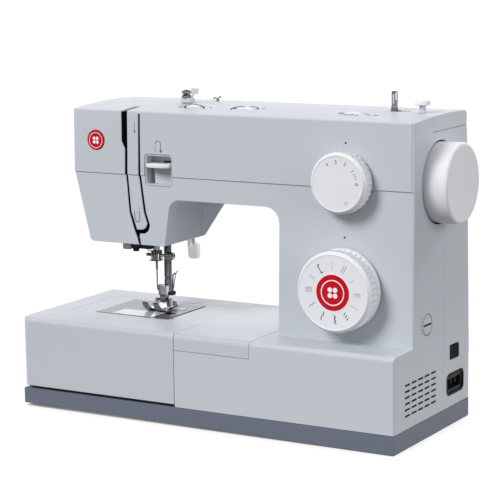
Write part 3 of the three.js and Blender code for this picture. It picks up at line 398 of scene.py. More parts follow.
def piece(name, form, finish, body, replaces=(), bevel=0.0, segments=3, sharp=35, slot=None):
    """Makes a form into an object that rides on a body; the slot, the finish's own if not given, is
    worked out but not used.
    """
    slot = slot or SLOT_OF.get(finish, finish)
    bmesh.ops.remove_doubles(form.mesh, verts=form.mesh.verts, dist=SAME_POINT)
    bmesh.ops.dissolve_degenerate(form.mesh, dist=SAME_POINT, edges=form.mesh.edges)
    bmesh.ops.recalc_face_normals(form.mesh, faces=form.mesh.faces)
    for vert in form.mesh.verts:
        vert.co = place(*vert.co)
    mesh = bpy.data.meshes.new(name)
    form.mesh.to_mesh(mesh)
    form.mesh.free()
    mesh.shade_smooth()
    mesh.set_sharp_from_angle(angle=radians(sharp))
    mesh.materials.append(materials[finish])
    obj = add_object(name, mesh)
    if bevel:
        add_bevel(obj, bevel, segments, sharp)
        add_normals(obj)
    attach(obj, body)
    if replaces:
        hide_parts(*([replaces] if isinstance(replaces, str) else replaces))
    return obj


def add_bevel(obj, width, segments, degrees, clamp=True):
    bevel = obj.modifiers.new("bevel", "BEVEL")
    bevel.width = width * MM
    bevel.segments = segments
    bevel.limit_method = "ANGLE"
    bevel.angle_limit = radians(degrees)
    bevel.use_clamp_overlap = clamp
    bevel.harden_normals = True


def add_normals(obj):
    obj.modifiers.new("normals", "WEIGHTED_NORMAL").keep_sharp = True


# ---- CAD nodes that stay
def soft_shading_group(name, degrees):
    """Geometry nodes that shade a mesh smooth, except across edges sharper than an angle."""
    group = bpy.data.node_groups.new(name, "GeometryNodeTree")
    group.interface.new_socket("Geometry", in_out="INPUT", socket_type="NodeSocketGeometry")
    group.interface.new_socket("Geometry", in_out="OUTPUT", socket_type="NodeSocketGeometry")
    new = group.nodes.new
    start, end = new("NodeGroupInput"), new("NodeGroupOutput")
    drop = put(new("GeometryNodeRemoveAttribute"), Name="custom_normal")
    faces = new("GeometryNodeSetShadeSmooth")
    faces.domain = "FACE"
    edges = put(new("GeometryNodeSetShadeSmooth"), Shade_Smooth=False)
    edges.domain = "EDGE"
    angle = new("GeometryNodeInputMeshEdgeAngle")
    compare = new("FunctionNodeCompare")
    compare.operation = "GREATER_THAN"
    compare.inputs[1].default_value = radians(degrees)
    for source, target in ((start, drop), (drop, faces), (faces, edges), (edges, end)):
        group.links.new(source.outputs["Geometry"], target.inputs["Geometry"])
    group.links.new(angle.outputs["Unsigned Angle"], compare.inputs[0])
    group.links.new(compare.outputs["Result"], edges.inputs["Selection"])
    return group


SHARP_EDGE, FLAT_ENOUGH = 32, 0.4  # degrees
WELD_DISTANCE = 0.00001  # metres
SOFT_SHADING = soft_shading_group("soft_shading", SHARP_EDGE)


def refine(obj, width, segments, planar=True):
    """Rounds the edges of a CAD node with modifiers, and leaves its mesh as it is."""
    obj.modifiers.new("weld", "WELD").merge_threshold = WELD_DISTANCE
    if planar:
        flat = obj.modifiers.new("flat", "DECIMATE")
        flat.decimate_type = "DISSOLVE"
        flat.angle_limit = radians(FLAT_ENOUGH)
    obj.modifiers.new("shading", "NODES").node_group = SOFT_SHADING
    add_bevel(obj, width, segments, SHARP_EDGE, clamp=False)
    add_normals(obj)


EDGE_RADII = {"upper_cover": 0.5, "extension_table": 0.7, "base_tray": 0.6}
USUAL_EDGE_RADIUS = 0.25
FINISHES = {"needle_plate": "plate_steel", "power_switch": "deep_black", "cover_catch": "deep_black"}
slots = {part["node"]: part["material_slot"] for part in frame["record"]["subparts"]}
for node, obj in NODES.items():
    refine(obj, EDGE_RADII.get(node, USUAL_EDGE_RADIUS), segments=2, planar=node != "front_shell")
    obj.data.materials.clear()
    obj.data.materials.append(materials[FINISHES.get(node, slots[node])])


# ---- shared shapes of the casing
FRONT_LEAN = 0.0194
COVER_LIP = 0.8
CROWN_TOP, CROWN_MIDDLE, CROWN_RADIUS = 278.2, 108, 680
COVER_LOW = extent("upper_cover")[0]
RIGHT_END = extent("front_shell")[1][0]


def front(z):
    """Where the front face of the machine stands, in y, at a height."""
    return COVER_LOW[1] + FRONT_LEAN * (z - COVER_LOW[2]) + (0 if z > COVER_LOW[2] else COVER_LIP)


def crown(y):
    """The height of the top at a place from front to back."""
    return CROWN_TOP - (y - CROWN_MIDDLE) ** 2 / (2 * CROWN_RADIUS)


# ---- printed marks
INK = 0.05  # how far a printed mark stands proud


def stroke(form, points, width=0.5, lift=INK):
    """A printed line through (x, z) points, drawn in the plane y = 0 for later placing."""
    for (x0, z0), (x1, z1) in zip(points, points[1:]):
        along = Vector((x1 - x0, z1 - z0)).normalized() * width / 2
        across = Vector((-along.y, along.x))
        start, end = Vector((x0, z0)) - along, Vector((x1, z1)) + along
        outline = [start - across, end - across, end + across, start + across]
        form.prism("Y", [tuple(p) for p in outline], -lift, lift)
    return form


def spot(form, x, z, radius, lift=INK):
    outline = [(x + radius * cos(a), z + radius * sin(a)) for a in arc(0, 348, 29)]
    return form.prism("Y", outline, -lift, lift)


def annulus(form, x, z, inner, outer, lift=INK, segments=72):
    profile = [(inner, -lift), (outer, -lift), (outer, lift), (inner, lift)]
    return form.lathe("Y", (x, 0, z), profile, segments, loop=True)


def digits(form, text, size, x, z, turn=0.0, lift=INK):
    """Plain figures in the plane y = 0, turned clockwise by an angle in degrees."""
    curve = bpy.data.curves.new("figure", "FONT")
    curve.body = text
    curve.size = size
    curve.extrude = lift
    curve.align_x = curve.align_y = "CENTER"
    holder = add_object("figure", curve)
    drawn = holder.evaluated_get(bpy.context.evaluated_depsgraph_get())
    outline = bpy.data.meshes.new_from_object(drawn)
    stand = Matrix.Rotation(radians(turn), 4, "Y") @ Matrix.Rotation(pi / 2, 4, "X")
    outline.transform(Matrix.Translation((x, 0, z)) @ stand)
    form.mesh.from_mesh(outline)
    bpy.data.objects.remove(holder)
    bpy.data.curves.remove(curve)
    bpy.data.meshes.remove(outline)
    return form


def four_holes(form, x, z, size):
    """The four holes of a sewing button, as dots."""
    for a in arc(45, 315, 3):
        spot(form, x + size * 0.27 * cos(a), z + size * 0.27 * sin(a), size * 0.17)
    return form


def polar(x, z, radius, clock):
    """The (x, z) point at a clock angle, in degrees from twelve o'clock."""
    a = radians(clock)
    return x + radius * sin(a), z + radius * cos(a)


for finish, name, colour, roughness in (
    ("dark_ink", "dark_ink", (34, 36, 42), 0.5),
    ("grey_ink", "grey_ink", (138, 148, 156), 0.5),
    ("pale_ink", "pale_ink", (244, 232, 232), 0.4),
    ("shadow", "shadow_black", (5, 5, 7), 0.9),
):
    materials[finish] = plastic(name, colour, roughness, grain=0.02)


# ---- handwheel and dials
def rim_profile(radius, back, face, edge, steps=5):
    """From the back of a wheel's rim to its rounded front edge, as (radius, height) pairs."""
    way = 1 if face > back else -1
    bend = [
        (radius - edge + edge * cos(a), face - way * edge + way * edge * sin(a))
        for a in arc(0, 90, steps)
    ]
    return [(radius, back)] + bend


def handwheel():
    low, high = extent("handwheel")
    radius = (high[2] - low[2]) / 2
    pulley, hub, bore = 30, 14, 4.4
    web = high[0] - 23.7
    cheek, inner, face = pulley + 1.6, low[0], high[0]
    profile = [(bore, web), (bore, inner), (cheek, inner), (cheek, inner + 1.2), (pulley, inner + 2.2)]
    profile += [(pulley, inner + 9.8), (cheek, inner + 10.8), (cheek, inner + 12), (hub, inner + 12)]
    profile += [(hub, web - 2.5), (radius - 1.2, web - 2.5), (radius - 0.4, web - 1.7)]
    profile += rim_profile(radius, face - 12, face, 2.6)
    profile += [(radius - 4.2, face - 0.12), (radius - 12, face - 0.55), (0, face - 0.8), (0, web)]
    profile += [(bore, web)]
    middle = (0, *centre("handwheel")[1:])
    form = Form().lathe("X", middle, profile, 144)
    piece("handwheel_rim", form, "knob", "main_shaft", "handwheel", sharp=25)


handwheel()


def fluted(count, depth, deep_from, deep_to):
    """Hollow flutes round a knob that run out towards its face."""

    def ripple(angle, radius, height):
        share = min(max((height - deep_from) / (deep_to - deep_from), 0), 1)
        if height > deep_to + 8:
            return 0
        return depth * share * abs(sin(count * angle / 2)) ** 0.7

    return ripple


def dial(name, piece_name, flutes, stem):
    """A fluted knob with a raised rim round a flat face. Returns the face's x, z, y and radius."""
    low, high, (x, _, z) = measured(name)
    radius = (high[0] - low[0]) / 2
    face = low[1]
    back = high[1] - 22
    rim = radius - 2.2
    profile = [(0, back), (radius - 0.8, back)]
    profile += [(radius, back - 0.5 - i * (back - face - 5) / 8) for i in range(9)]
    profile += [(radius - 0.3, face + 2.9), (rim + 1.0, face + 2.2), (rim + 0.5, face + 1.1)]
    profile += [(rim - 0.2, face + 0.2), (rim - 0.7, face), (rim - 1.2, face + 0.06)]
    profile += [(rim - 1.6, face + 0.4), (0, face + 0.4)]
    cut = fluted(flutes, 1.9, face + 3.2, face + 6.5)
    form = Form().lathe("Y", (x, 0, z), profile, flutes * 8, cut)
    form.pin("Y", (x, 0, z), stem, back - 1, high[1])
    piece(piece_name, form, "knob", name, name, sharp=38)
    return x, z, face + 0.4, rim - 1.6


def on_plane(y):
    return lambda point: (0, y, 0)


def length_dial():
    x, z, y, radius = dial("length_dial", "length_dial_knob", 34, 4)
    marks = Form()
    reach = radius * 0.8
    for text, clock in (("4", -31), ("3", -4), ("2", 24), ("1", 52), ("0", 89)):
        digits(marks, text, 4.7, *polar(x, z, reach, clock), turn=clock)
    for clock in (62, 68, 74):
        stroke(marks, [polar(x, z, reach - 0.9, clock), polar(x, z, reach + 0.9, clock)], 0.4)
    marks.shift(on_plane(y))
    piece("length_dial_figures", marks, "dark_ink", "length_dial")
    faint = Form()
    for clock in (150, 156):
        stroke(faint, [polar(x, z, reach - 1.4, clock), polar(x, z, reach + 1.2, clock)], 0.6)
    faint.shift(on_plane(y))
    piece("length_dial_stretch_mark", faint, "grey_ink", "length_dial")


length_dial()


def stitch_symbols():
    """Twelve stitch symbols round a dial, as {clock angle: [strokes]}; strokes run outwards."""

    def zigzag(count, swing, length=7.2):
        return [[(swing * (-1) ** i, length * (i / count - 0.5)) for i in range(count + 1)]]

    def dashes(count, length=7.2):
        pitch = length / count
        starts = [-length / 2 + pitch * i for i in range(count)]
        return [[(0, v), (0, v + pitch * 0.55)] for v in starts]

    box = [[(-1, -3.6), (1, -3.6)], [(-1, 3.6), (1, 3.6)], [(-0.7, -3.4), (-0.7, 3.4)]]
    slants = [[(-1, v), (1, v + 0.9)] for v in (-3, -0.5, 2)]
    scallop = [[(1.2 * abs(sin(a)), 7 * (a / tau - 0.5)) for a in arc(0, 360, 16)]]
    return {
        -31: box,
        -1: dashes(5),
        29: [*zigzag(5, 0.9), [(-2, -3.4), (-2, 3.4)]],
        59: dashes(1),
        89: [*zigzag(6, 0.8, 6), [(2, -3), (2, 3)]],
        119: [[(0, -3.4), (0, 3.4)]],
        147: slants,
        175: zigzag(5, 0.8),
        206: zigzag(3, 0.35),
        238: scallop,
        270: [*zigzag(6, 0.9, 6), *[[(u + 2.4, v) for u, v in zigzag(6, 0.9, 6)[0]]]],
        299: [*dashes(3), [(1.6, -3), (1.6, 3)]],
    }


def pattern_dial():
    x, z, y, radius = dial("pattern_dial", "pattern_dial_knob", 44, 5)
    forms = {"dark_ink": Form(), "grey_ink": Form()}
    strong = (-31, 147, 175, 206)
    for clock, strokes in stitch_symbols().items():
        form = forms["dark_ink" if clock in strong else "grey_ink"]
        out = Vector(polar(0, 0, 1, clock))
        side = Vector((out.y, -out.x))
        spot_at = Vector((x, z)) + out * radius * 0.73
        for line in strokes:
            points = [tuple(spot_at + side * u + out * v) for u, v in line]
            stroke(form, points, 0.75 if clock in strong else 0.45)
    for ink, form in forms.items():
        form.shift(on_plane(y))
        piece("pattern_symbols_" + ink, form, ink, "pattern_dial")
    hub = 15.6
    ring = Form().pin("Y", (x, 0, z), hub + 0.9, y + 0.4, y - 0.2, 96)
    piece("pattern_dial_ring", ring, "pale_ink", "pattern_dial", bevel=0.15)
    profile = [(0, y), (hub, y), (hub, y - 0.34), (hub - 0.3, y - 0.4), (0, y - 0.4)]
    disc = Form().lathe("Y", (x, 0, z), profile)
    piece("pattern_dial_centre", disc, "badge", "pattern_dial")
    icon = four_holes(Form(), x, z, 13)
    annulus(icon, x, z, 10.2, 11.2)
    icon.shift(on_plane(y - 0.4))
    piece("pattern_dial_icon", icon, "pale_ink", "pattern_dial")


pattern_dial()


def badge():
    low, high, (x, _, z) = measured("badge")
    radius = (high[0] - low[0]) / 2
    face = low[1]
    profile = [(0, high[1]), (radius, high[1]), (radius, face + 0.35), (radius - 0.35, face), (0, face)]
    form = Form().lathe("Y", (x, 0, z), profile)
    piece("badge_disc", form, "badge", "casing", "badge", sharp=25)
    ink = annulus(Form(), x, z, radius - 2.3, radius - 1.8)
    four_holes(ink, x, z, 9)
    ink.shift(on_plane(face))
    piece("badge_icon", ink, "pale_ink", "casing")


badge()


def thumbwheel(name):
    """A ribbed wheel whose top stands just out of the cover."""
    low, high, (x, _, z) = measured(name)
    radius = (high[0] - low[0]) / 2
    z = high[2] - radius
    ribs = 56

    def ripple(angle, at_radius, height):
        return 0.55 * (0.5 - 0.5 * cos(ribs * angle)) if at_radius > radius - 1 else 0

    face, back = low[1], low[1] + 6
    profile = [(0, face + 0.5), (radius - 4, face + 0.5), (radius - 3, face), (radius - 0.7, face)]
    profile += [(radius, face + 0.7), (radius, back - 0.7), (radius - 0.7, back), (0, back)]
    form = Form().lathe("Y", (x, 0, z), profile, ribs * 6, ripple)
    form.pin("Y", (x, 0, z), 3, back - 1, high[1])
    piece(name + "_rim", form, "knob", name, name)


for wheel in ("tension_wheel", "width_wheel", "position_wheel"):
    thumbwheel(wheel)


# ---- needle bar and presser foot
def knurled(axis, middle, radius, start, end, ribs, dome=0.8):
    """A screw head with fine ribs round it and a domed outer face."""
    way = 1 if end > start else -1

    def ripple(angle, at_radius, height):
        return 0.12 * radius * (0.5 - 0.5 * cos(ribs * angle)) if at_radius > radius * 0.97 else 0

    profile = [(0, start), (radius * 0.86, start), (radius, start + way * 0.6)]
    profile += [(radius, end - way * 0.7), (radius * 0.88, end)]
    profile += [(radius * 0.5, end + way * dome * 0.3), (0, end + way * dome * 0.5)]
    return Form().lathe(axis, middle, profile, ribs * 6, ripple)


def needle_works():
    low, high, (x, y, _) = measured("needle")
    tip = low[2]
    profile = [(0, tip), (0.25, tip + 2), (0.55, tip + 4.5), (0.62, tip + 18), (0.75, tip + 20)]
    profile += [(1.0, tip + 21.5), (1.0, high[2]), (0, high[2])]
    form = Form().lathe("Z", (x, y, 0), profile, 24)
    piece("needle_blade", form, "needle_steel_with_painted_shade", "needle_bar", "needle")

    low, high = extent("needle_clamp")
    radius = high[0] - x
    bottom, top = low[2], high[2]
    profile = [(3.5, bottom + 1.6), (3.5, top), (radius - 0.9, top), (radius - 0.4, top - 0.6)]
    profile += [(radius - 0.4, bottom + 2.6), (radius, bottom + 2), (radius, bottom + 0.5)]
    profile += [(radius - 0.6, bottom), (1.3, bottom), (1.3, bottom + 1.6)]
    form = Form().lathe("Z", (x, y, 0), profile, 48, loop=True)
    middle = (bottom + top) / 2
    lug = rounded(oblong(y - 1.5, middle - 1.4, y + 1.5, middle + 1.6, 0.8))
    form.prism("X", lug, low[0], x - radius + 1)
    hook = [(-2, -5, 0.6), (-4.5, -5.4, 0.4), (-5.6, -3.6, 0.5)]
    form.tube([(x + u, y + v, bottom + w) for u, v, w in hook], 0.4)
    piece("needle_clamp_block", form, "chrome_with_painted_shade", "needle_bar", "needle_clamp")

    low, high = extent("clamp_screw")
    z = (low[2] + high[2]) / 2
    radius = (high[2] - low[2]) / 2
    form = Form().pin("X", (0, y, z), 1.5, low[0], 109.2, 24)
    piece("clamp_screw_stem", form, "bright_steel", "needle_bar")
    form = knurled("X", (0, y, z), radius, 109, high[0] - 0.5, 16)
    piece("clamp_screw_head", form, "chrome_with_painted_shade", "needle_bar", "clamp_screw")


needle_works()


def presser_works():
    low, high, (x, y, _) = measured("presser_bar")
    radius = (high[0] - low[0]) / 2
    profile = [(0, low[2]), (radius - 0.5, low[2]), (radius, low[2] + 0.5), (radius, 111.6)]
    profile += [(radius - 0.35, 112), (radius - 0.35, 112.8), (radius, 113.2)]
    profile += [(radius, high[2]), (0, high[2])]
    form = Form().lathe("Z", (x, y, 0), profile, 64)
    piece("presser_bar_rod", form, "shaded_chrome", "presser_bar", "presser_bar")

    low, high = extent("foot_ankle")
    face = low[1] + 2
    left, right, back = 95.3, high[0], 95.1
    shank = rounded(oblong(left, 96, right, high[2], 1.2))
    form = Form().prism("Y", shank, face, back)
    piece("ankle_shank", form, "bright_steel", "presser_bar", bevel=0.35, segments=2)
    heel = [(low[1], low[2]), (89.2, low[2]), (89.2, 94.6), (92.8, 94.6), (92.8, low[2])]
    heel += [(back, low[2]), (back, 97.5), (low[1] + 0.8, 97.5), (low[1], 96.6)]
    form = Form().prism("X", heel, left, right)
    form.box(low[0], face, 97, 94.7, 103, high[2])
    form.box(low[0], face, 97, left + 0.8, face + 2, high[2])
    piece("ankle_block", form, "chrome_with_painted_shade", "presser_bar", "foot_ankle", bevel=0.35)
    low, high = extent("ankle_screw")
    z = (low[2] + high[2]) / 2
    form = knurled("X", (0, y, z), (high[2] - low[2]) / 2, high[0] - 2.6, low[0] + 0.6, 16)
    form.pin("X", (0, y, z), 1.5, low[0] + 2, high[0], 24)
    piece("ankle_thumb_screw", form, "chrome_with_painted_shade", "presser_bar", "ankle_screw")
    # release lever behind the bar, with its wire spring
    thin = [(101, 99), (102, 103), (103, 110), (104.6, 116), (106.6, 119)]
    form = Form().tube([(100, 102, 98)] + [(u, 103, v) for u, v in thin], 0.45)
    thick = [(100.8, 98), (101, 108), (101.4, 114.5), (103.2, 116.4), (104.6, 115)]
    form.tube([(u, 103, v) for u, v in thick], 0.7)
    piece("release_spring", form, "chrome_with_painted_shade", "presser_bar")
    outline = [(back - 0.6, 96.4, 0.5), (100, 95.4, 1), (105.4, 95.4, 1)]
    outline += [(105.4, 99.2, 1.6), (back - 0.6, 99.2, 0.5)]
    form = Form().prism("X", rounded(outline), 99.4, 102.8)
    piece("release_lever", form, "black_plastic", "presser_bar", bevel=0.3)


presser_works()


def presser_foot():
    low, high = extent("presser_foot")
    left, right = low[0], high[0]
    middle = (left + right) / 2
    toe = [(66, 93.4), (68, 90.2), (71, 87.3), (74.5, 85.2), (79, 84.4), (79, 86.2), (78.5, 86.2)]
    toe += [(75, 87), (72, 89), (69.4, 91.6), (67.6, 94.4)]
    for side, start, end in (("left", left, middle - 2.2), ("right", middle + 2.2, right)):
        width = end - start
        taper = lambda p, s=start, w=width: ((s + w / 2 - p.x) * 0.35 * max(0, (76 - p.y) / 10), 0, 0)
        form = Form().prism("X", toe, start, end).shift(taper)
        piece("foot_toe_" + side, form, "chrome_with_painted_shade", "presser_foot", bevel=0.25, segments=2)
    sole = [(78.6, 84.4), (90, 84.4), (95, 85.2), (100, 86.6), (100, 88.2), (94, 86.9), (78.6, 86.2)]
    form = Form()
    for start, end in ((left, middle - 3.8), (middle + 3.8, right)):
        form.prism("X", sole, start, end)
    bridge = [(83, 84.5), (90, 84.45), (95, 85.25), (99.8, 86.6), (99.8, 88.1), (94, 86.8), (83, 86.3)]
    form.prism("X", bridge, left, right)
    piece("foot_sole", form, "bright_steel", "presser_foot", "presser_foot", bevel=0.25, segments=2)
    form = Form()
    cheek = [(88.6, 85.8), (94.2, 85.8), (93.4, 93.2, 1.2), (92, 94.4, 1), (90, 94.4, 1), (88.8, 93, 1)]
    cheek = rounded([(c + (0,))[:3] for c in cheek])
    for start in (90, 105):
        form.prism("X", cheek, start, start + 2)
    piece("foot_cheeks", form, "bright_steel", "presser_foot", bevel=0.3, segments=2)
    form = Form().pin("X", (0, 91, 92.6), 1.15, 90.6, 106.4)
    form.prism("X", [(94.6, 87), (99.6, 88.3), (99.6, 90), (97, 90.6), (94.6, 89.4)], 99, 107.4)
    piece("foot_pin", form, "chrome_with_painted_shade", "presser_foot", bevel=0.2)


presser_foot()


def lifter():
    low, high = extent("presser_lifter")
    arm = [(114, 174, 3), (121, 176, 3), (126, 168, 6), (139.6, 140, 6), (133.4, 138, 4), (119, 166, 6)]
    form = Form().prism("X", rounded(arm, 10)[::-1], 101.2, 106)
    piece("lifter_arm", form, "milky_plastic_with_painted_glow", "presser_lifter", bevel=0.9)
    paddle = [(low[0], 141, 2.4), (low[0] + 0.4, low[2], 3.2)]
    paddle += [(high[0] - 0.4, low[2], 3.2), (high[0], 141, 2.4)]
    form = Form().prism("Y", rounded(paddle, 10), 133.2, 140.6)
    form.shift(lambda p: (0, (141 - p.z) * 0.09, 0))
    piece("lifter_paddle", form, "milky_plastic_with_painted_glow", "presser_lifter", "presser_lifter", 1.3, 4)


lifter()


def threader():
    low, high = extent("needle_threader")
    form = Form().prism("Y", rounded(oblong(low[0] + 2.2, 143, 79.2, 151, 1)), low[1], high[1])
    form.pin("Z", (84, 69, 0), 1.8, 149.4, high[2], 24)
    piece("threader_grip", form, "grey_plastic", "needle_threader", "needle_threader", bevel=0.5)
    form = Form().prism("Y", rounded(oblong(79.4, 144.4, high[0], 149.4, 0.6)), 66.2, 71.4)
    form.box(86, 66.6, 149, 97, 70.8, 150.4)
    cap = [(0, 141.4), (2.6, 141.4), (3, 142), (3, 143.6), (2.2, 144.6), (0, 144.6)]
    form.lathe("Z", (83.4, 68.6, 0), cap, 36)
    form.tube([(96, 68.6, 144.6), (96.4, 69, 142.6), (98.2, 72, 141.6)], 0.4)
    piece("threader_bar", form, "black_plastic", "needle_threader", bevel=0.25, segments=2, slot="knob")


threader()


def plate_marks():
    """Fine seam guide lines ruled in the needle plate."""
    top = extent("needle_plate")[1][2]
    pitch, half, low, high = 3.4, 0.14, top - 0.05, top + 0.03
    form = Form()
    for x in [108.7 + pitch * i for i in (0, 2, 3, 4)] + [88.3 - pitch * i for i in range(4)]:
        form.box(x - half, 81, low, x + half, 113, high)
    for y in (88, 98, 108):
        form.box(105.6, y - half, low, 124, y + half, high)
    piece("plate_guide_lines", form, "grey_ink", "casing")


plate_marks()


# ---- front and top controls
def reverse_lever():
    low, high = extent("reverse_lever")
    left, right = low[0], high[0]
    middle, half = (left + right) / 2, (right - left) / 2
    widest = cos(radians(20))  # of an arc that starts 20 degrees below level
    outline = [(left + 0.6, 50.6), (left, 41.5)]
    for a in arc(200, 340, 14):
        outline.append((middle + half * cos(a) / widest, 41 + 7 * sin(a) * 0.98))
    outline += [(right, 41.5), (right - 0.6, 50.6)]
    form = Form().prism("Z", outline, 224.9, 228.4)
    form.shift(lambda p: (0, 0, 0.5 - 0.012 * (p.x - middle) ** 2 * 0.3 if p.z > 226 else 0))
    piece("reverse_tab", form, "knob", "reverse_lever", bevel=1.1, segments=4)
    form = Form().box(119.8, 47.2, low[2], right - 0.4, 50.4, 225.6)
    form.box(128, 50, 222, 136, high[1], 228.2)
    piece("reverse_stem", form, "grey_plastic", "reverse_lever", "reverse_lever", 0.5, 2)


reverse_lever()


def top_fittings():
    low, high, (x, y, _) = measured("winder_spindle")
    profile = [(0, low[2]), (2.4, low[2]), (2.4, 275), (3.4, 277.8), (3.4, 280), (2.9, 280.6)]
    profile += [(2.9, 283), (2.6, 283.3), (2.6, 283.9), (2.9, 284.2), (2.9, 294.4)]
    profile += [(2.3, 295.4), (0, 295.5)]
    form = Form().lathe("Z", (x, y, 0), profile, 48)
    piece("winder_spindle_post", form, "chrome_with_painted_shade", "winder_spindle", "winder_spindle")
    form = Form().box(x - 1.6, y - 3.1, 284.6, x - 0.8, y - 2.4, 294)
    form.box(x - 0.2, y - 3.3, 285, x + 1.2, y - 2.6, 293)
    piece("winder_spring", form, "bright_steel", "winder_spindle", bevel=0.15)

    low, high, (x, y, _) = measured("winder_stop")
    radius = (high[0] - low[0]) / 2
    form = Form().pin("Z", (x, y, 0), 2.9, low[2], high[2] - 4, 48)
    piece("winder_stop_stem", form, "grey_plastic", "casing")
    top = high[2]
    profile = [(0, top - 4.2), (radius - 0.7, top - 4.2), (radius, top - 3.5), (radius, top - 0.9)]
    profile += [(radius - 0.3, top - 0.3), (radius - 1.1, top), (0, top)]
    form = Form().lathe("Z", (x, y, 0), profile, 72)
    piece("winder_stop_cap", form, "knob", "casing", "winder_stop")

    low = extent("bobbin_thread_guide")[0]
    x, y = 124, 97  # the middle of its post
    form = Form().prism("Z", rounded(oblong(x - 5, y - 3.5, x + 7, y + 3.5, 1.2)), 278.6, 283)
    piece("guide_foot", form, "grey_plastic", "casing", bevel=0.5, segments=2, slot="bright_steel")
    profile = [(0, low[2]), (2.8, low[2]), (2.8, 282.6), (3.6, 283.2), (5, 283.6), (5, 284.6)]
    profile += [(3.6, 285.6), (3.2, 286.2), (3.6, 286.8), (5, 287.6), (5, 288.8), (3.4, 289.6)]
    profile += [(2, 290.3), (0, 290.4)]
    form = Form().lathe("Z", (x, y, 0), profile, 48)
    piece("guide_discs", form, "chrome_with_painted_shade", "casing", "bobbin_thread_guide")
    wing = [(x + 5.4, 282.6, 0), (x + 6.6, 282.6, 0), (x + 8, 286.6, 1.5), (x + 12, 286.8, 1.2)]
    wing += [(x + 13, 292, 1), (x + 5.4, 292, 0.6)]
    form = Form().prism("Y", rounded(wing), y - 0.7, y + 0.7)
    piece("guide_wing", form, "grey_plastic", "casing", bevel=0.3, segments=2, slot="bright_steel")

    x, y, _ = centre("rear_thread_guide")
    low = extent("rear_thread_guide")[0]
    profile = [(0, low[2]), (1.7, low[2]), (1.7, 278.6), (0.9, 279.2), (0, 279.2)]
    form = Form().lathe("Z", (x, y, 0), profile, 32)
    curl = [(x, y, 278), (x - 0.5, y, 280), (x - 2.6, y - 0.6, 281), (x - 4, y - 1, 280.4)]
    form.tube(curl + [(x - 3.6, y - 1, 279.4)], 0.6)
    form.tube([(x, y, 279), (x + 1.2, y, 281.2), (x + 2.4, y, 282.2), (x + 3.4, y, 281.4)], 0.6)
    piece("rear_guide_hook", form, "chrome_with_painted_shade", "casing", "rear_thread_guide")


top_fittings()


# ---- right end
def adjuster():
    low, high, (_, y, z) = measured("balance_adjuster")
    radius = (high[1] - low[1]) / 2
    face = high[0]
    profile = [(0, low[0]), (radius, low[0]), (radius, face - 0.5), (radius - 0.5, face), (0, face)]
    form = Form().lathe("X", (0, y, z), profile)
    piece("adjuster_disc", form, "casing", "balance_adjuster", "balance_adjuster")
    # painted shade: a black bar that fills the slot in the disc
    form = Form().box(face - 0.4, y - 7.6, z - 0.85, face + 0.04, y + 7.6, z + 0.85)
    piece("adjuster_shaded_slot", form, "shadow", "balance_adjuster")
    # painted shade: a dark ring in the gap round the disc and just outside it; the ticks beside it are
    # print
    ring = [(0.02, -1), (0.28, -1), (0.32, 0), (0.7, 0), (0.7, 0.05), (0.3, 0.05), (0.02, -0.6)]
    ring = [(radius + out, RIGHT_END + proud) for out, proud in ring]
    form = Form().lathe("X", (0, y, z), ring, 96, loop=True)
    for clock in (-115, -100, -85, -70, -55):
        a = radians(clock)
        u, v = y + (radius + 3.6) * sin(a), z + (radius + 3.6) * cos(a)
        form.box(RIGHT_END - 0.1, u - 0.9, v - 0.35, RIGHT_END + 0.05, u + 0.9, v + 0.35)
    piece("adjuster_ring_shade_and_ticks", form, "dark_ink", "casing")


adjuster()


def power_controls():
    low, high = extent("power_inlet")
    depth, face = low[0], high[0]

    def outline(inset, radius):
        corners = (low[1] + inset, low[2] + inset, high[1] - inset, high[2] - inset)
        return rounded(oblong(*corners, radius))

    def at(points, x):
        return [(x, u, v) for u, v in points]

    outer, inner, hole = outline(0.02, 5.4), outline(2.2, 3.6), outline(5, 1.6)
    rings = [at(outer, depth), at(outer, face), at(inner, face), at(inner, depth)]
    form = Form().loft(rings, loop=True)
    piece("inlet_frame", form, "deep_black", "casing", bevel=0.4)
    start, end = depth + 0.5, face - 1.2
    rings = [at(inner, start), at(inner, end), at(hole, end), at(hole, start)]
    form = Form().loft(rings, loop=True)
    piece("inlet_flange", form, "black_plastic", "casing", bevel=0.2)
    low_v, high_v = low[2] + 5.2, high[2] - 5.2
    form = Form().prism("X", hole, depth, depth + 2)
    span = (high[1] - low[1] - 10.4) / 3
    for i in (1, 2):
        u = low[1] + 5.2 + span * i
        form.box(depth + 1, u - 0.9, low_v + 3.4, face - 2.4, u + 0.9, high_v + 0.1)
    piece("inlet_bays", form, "black_plastic", "casing", "power_inlet", bevel=0.3, segments=2)
    form = Form()
    for i in range(3):
        u = low[1] + 5.2 + span * (i + 0.5)
        form.box(depth + 1, u - 1.2, 35.4, 374.4, u + 1.2, 39)
    piece("inlet_prongs", form, "bright_steel", "casing", bevel=0.3, segments=2)


power_controls()


# ---- marks on the casing
def on_front(point):
    return (0, front(point.z), 0)


